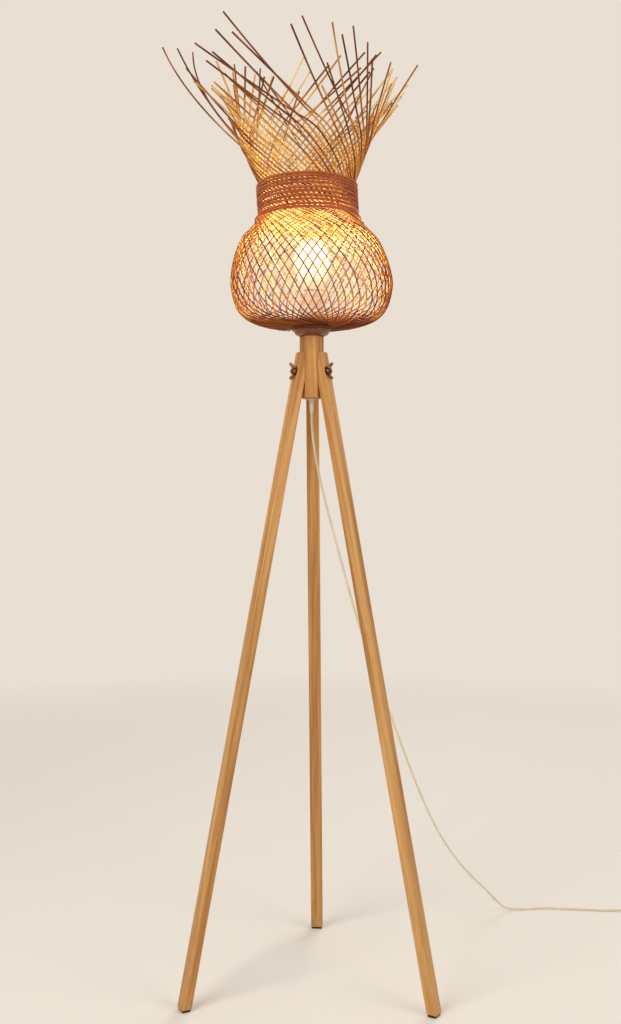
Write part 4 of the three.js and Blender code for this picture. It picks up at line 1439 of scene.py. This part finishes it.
    def fittings(self) -> None:
        """Makes the dish, the two discs and what clamps them."""
        foot, top, floor = 1064.3, 1075.3, 1072.3
        rim, seat, hub = 29.5, 19.5, 8.3
        side = bezier([(seat, foot), (rim, foot + 2.75), (rim, 1073.9)], 14)
        profile = [(self.bore, foot), *side, (rim, top), (seat, top), (seat - 3, floor)]
        profile += [(hub, floor), (hub, top), (self.bore, top), (self.bore, foot)]
        lathed("shade_dish", "turned_dish", profile, Finishes.dark_wood, 0.5, 96)
        lower, upper = (self.flat_ring(foot, *self.disc) for foot in self.disc_feet)
        # The lower disc wears painted shade.
        lathed("shade_lower_disc", "lower_clamp_disc", lower, Finishes.shade_darkened_board, 0.35, 96)
        lathed("shade_upper_disc", "upper_clamp_disc", upper, Finishes.board, 0.35, 96)
        dress_node("threaded_nipple", Finishes.steel)
        washer = self.flat_ring(self.washer_foot, *self.washer)
        lathed("nipple_washer", "clamp_washer", washer, Finishes.steel, 0.2, 64, 2)
        refined("nipple_nut", "clamp_nut", Finishes.brass, 0.35)


# The lampholder and its bulb


@dataclass
class Lampholder:
    """A screw lampholder of white resin, with a porcelain insert."""

    foot: float = 1093.3
    radius: float = 19.7
    bore: float = 5.3
    joint: float = 14.3  # the shell's foot above the cap's
    height: float = 43.0
    threads: int = 9
    thread_pitch: float = 2.2

    def build(self) -> None:
        """Makes the cap and the shell, and dresses the insert and its contacts."""
        lathed("lampholder_cap", "holder_cap", self.cap(), Finishes.shell, 0.3)
        lathed("lampholder_shell", "holder_shell", self.shell(), Finishes.shell, 0.2, segments=2)
        dress_node("lampholder_insulator", Finishes.porcelain)
        dress_node("screw_contact", Finishes.brass)
        dress_node("centre_contact", Finishes.brass)

    def cap(self) -> Profile:
        """Gives the section of the cap, with the groove under its rim.

        Returns:
            The profile.
        """
        r, z, bore = self.radius, self.foot, self.bore
        profile = [(bore, z), (16.5, z), (r - 0.4, z + 6.4), (r, z + 7.6), (r, z + 11.4)]
        profile += [(r - 0.6, z + 11.7), (r - 0.6, z + 12.3), (r, z + 12.6), (r, z + 14)]
        profile += [(r - 2.5, z + 14), (r - 2.5, z + 7), (14.3, z + 2.4), (bore, z + 2.4)]
        return [*profile, (bore, z)]

    def shell(self) -> Profile:
        """Gives the section of the shell, with the thread for a shade ring outside.

        Returns:
            The profile.
        """
        r, foot, top = self.radius, self.foot + self.joint, self.foot + self.height
        neck, wall = 15.0, 2.2
        profile = [(neck - wall, foot - 4), (neck, foot - 4), (neck, foot), (r, foot)]
        for i in range(self.threads):
            low = foot + 3 + i * self.thread_pitch
            profile += [(r, low), (r - 0.7, low + 0.8), (r - 0.7, low + 1.1), (r, low + 1.9)]
        profile += [(r, top - 1.8), (r - 1.8, top), (r - wall, top), (r - wall, foot + 0.3)]
        return [*profile, (neck - wall, foot + 0.3), (neck - wall, foot - 4)]


@dataclass
class Bulb:
    """A lit screw-in lamp: an opal dome on a white housing."""

    top: float = 1222.0
    seat_height: float = 1170.3
    seat_radius: float = 25.3
    dome_radius: float = 30.0
    widest_drop: float = 32.0
    wall: float = 1.4
    housing_foot: float = 1140.6
    housing_top: float = 1170.0
    light: float = 3.6  # watts

    def build(self) -> None:
        """Makes the dome and the housing, dresses the cap and lights the bulb."""
        self.dome()
        foot, top, r = self.housing_foot, self.housing_top, self.seat_radius
        side = bezier([(13.7, foot), (13.7, 1150.4), (r, 1155.3), (r, 1168.6)], 20)
        groove = [(r - 0.4, 1168.9), (r - 0.4, 1169.6)]
        profile = [(0, foot), *side, *groove, (r, top), (0, top)]
        lathed("bulb_housing", "bulb_body", profile, Finishes.neck_opal, 0.2, segments=2)
        dress_node("bulb_led_board", Finishes.shell)
        dress_node("bulb_screw_cap", Finishes.steel)
        dress_node("bulb_tip_contact", Finishes.brass)
        self.shine()

    def section(self, inward: float) -> Profile:
        """Gives the dome's section from its seat to its top.

        Args:
            inward: how far it is drawn in.

        Returns:
            The section.
        """
        widest = self.top - self.widest_drop
        seat, wide = self.seat_radius - inward, self.dome_radius - inward
        middle = (self.seat_height + widest) / 2
        places = bezier([(seat, self.seat_height), (wide, middle), (wide, widest)], 10)
        for i in range(1, 19):
            angle = i * math.pi / 36
            up = (self.widest_drop - inward) * math.sin(angle)
            places.append((wide * math.cos(angle) if i < 18 else 0.0, widest + up))
        return places

    def dome(self) -> None:
        """Turns the dome as a shell with its real wall, which lets its own light through."""
        outside, inside = self.section(0), self.section(self.wall)
        piece = turned("opal_dome", [*outside, *reversed(inside), outside[0]])
        bpy.ops.object.shade_smooth_by_angle(angle=math.radians(40))
        dress(piece, Finishes.opal)
        stand_for(piece, "bulb_dome")
        piece.visible_shadow = False

    def shine(self) -> None:
        """Puts the bulb's own warm light in the middle of the dome."""
        data = bpy.data.lights.new("bulb_light", "POINT")
        data.energy = self.light
        data.color = colour("#ffe9c2")[:3]
        data.shadow_soft_size = 0.026
        height = (self.top - self.widest_drop) * MM
        put("bulb_light", data).location = AXIS + Vector((0, 0, height))


# The stand


@dataclass
class Tripod:
    """The six-sided post, its three legs, and the bolts and wing nuts that hold them."""

    azimuths: tuple[float, float, float] = (90.0, 210.0, 330.0)
    slope: float = 0.2

    def build(self) -> None:
        """Makes the wooden pieces and the fixings."""
        tones = ("#d6a263", "#be8747", "#9f6a31")
        wood = PlanedWood("rubberwood_post", (0.0, 0.0, 0.4), 0.3, *tones)
        refined("hex_post", "post", wood, 0.7, 3)
        for number, azimuth in enumerate(self.azimuths, 1):
            self.leg(number, azimuth)

    def grain(self, azimuth: float) -> Triple:
        """Gives the turn that stands a leg's length upright, so that its grain runs along it.

        Args:
            azimuth: the way the leg points, in degrees.

        Returns:
            The turn, in radians.
        """
        back = Matrix.Rotation(math.radians(-azimuth), 3, "Z")
        upright = Matrix.Rotation(math.atan(self.slope), 3, "Y")
        return tuple((upright @ back).to_euler("XYZ"))

    def leg(self, number: int, azimuth: float) -> None:
        """Makes one leg with its pad, bolt, washer and nut.

        Args:
            number: the leg's number.
            azimuth: the way it points, in degrees.
        """
        wood = PlanedWood(f"rubberwood_leg_{number}", self.grain(azimuth), 0.37 * number)
        refined(f"leg_{number}", f"tripod_leg_{number}", wood, 0.6, 3)
        refined(f"foot_pad_{number}", f"rubber_pad_{number}", Finishes.rubber, 0.4)
        dress_node(f"hanger_bolt_{number}", Finishes.bronze)
        refined(f"leg_washer_{number}", f"bolt_washer_{number}", Finishes.bronze, 0.2)
        refined(f"wing_nut_{number}", f"winged_nut_{number}", Finishes.bronze, 0.25)


def main() -> None:
    """Builds the studio and then the lamp, piece by piece."""
    logging.basicConfig(level=logging.INFO, format="%(message)s")
    for part in (Studio(), Lead(), Shade(), Lampholder(), Bulb(), Tripod()):
        part.build()
        log.info("%s done", type(part).__name__)


if __name__ == "__main__":
    main()
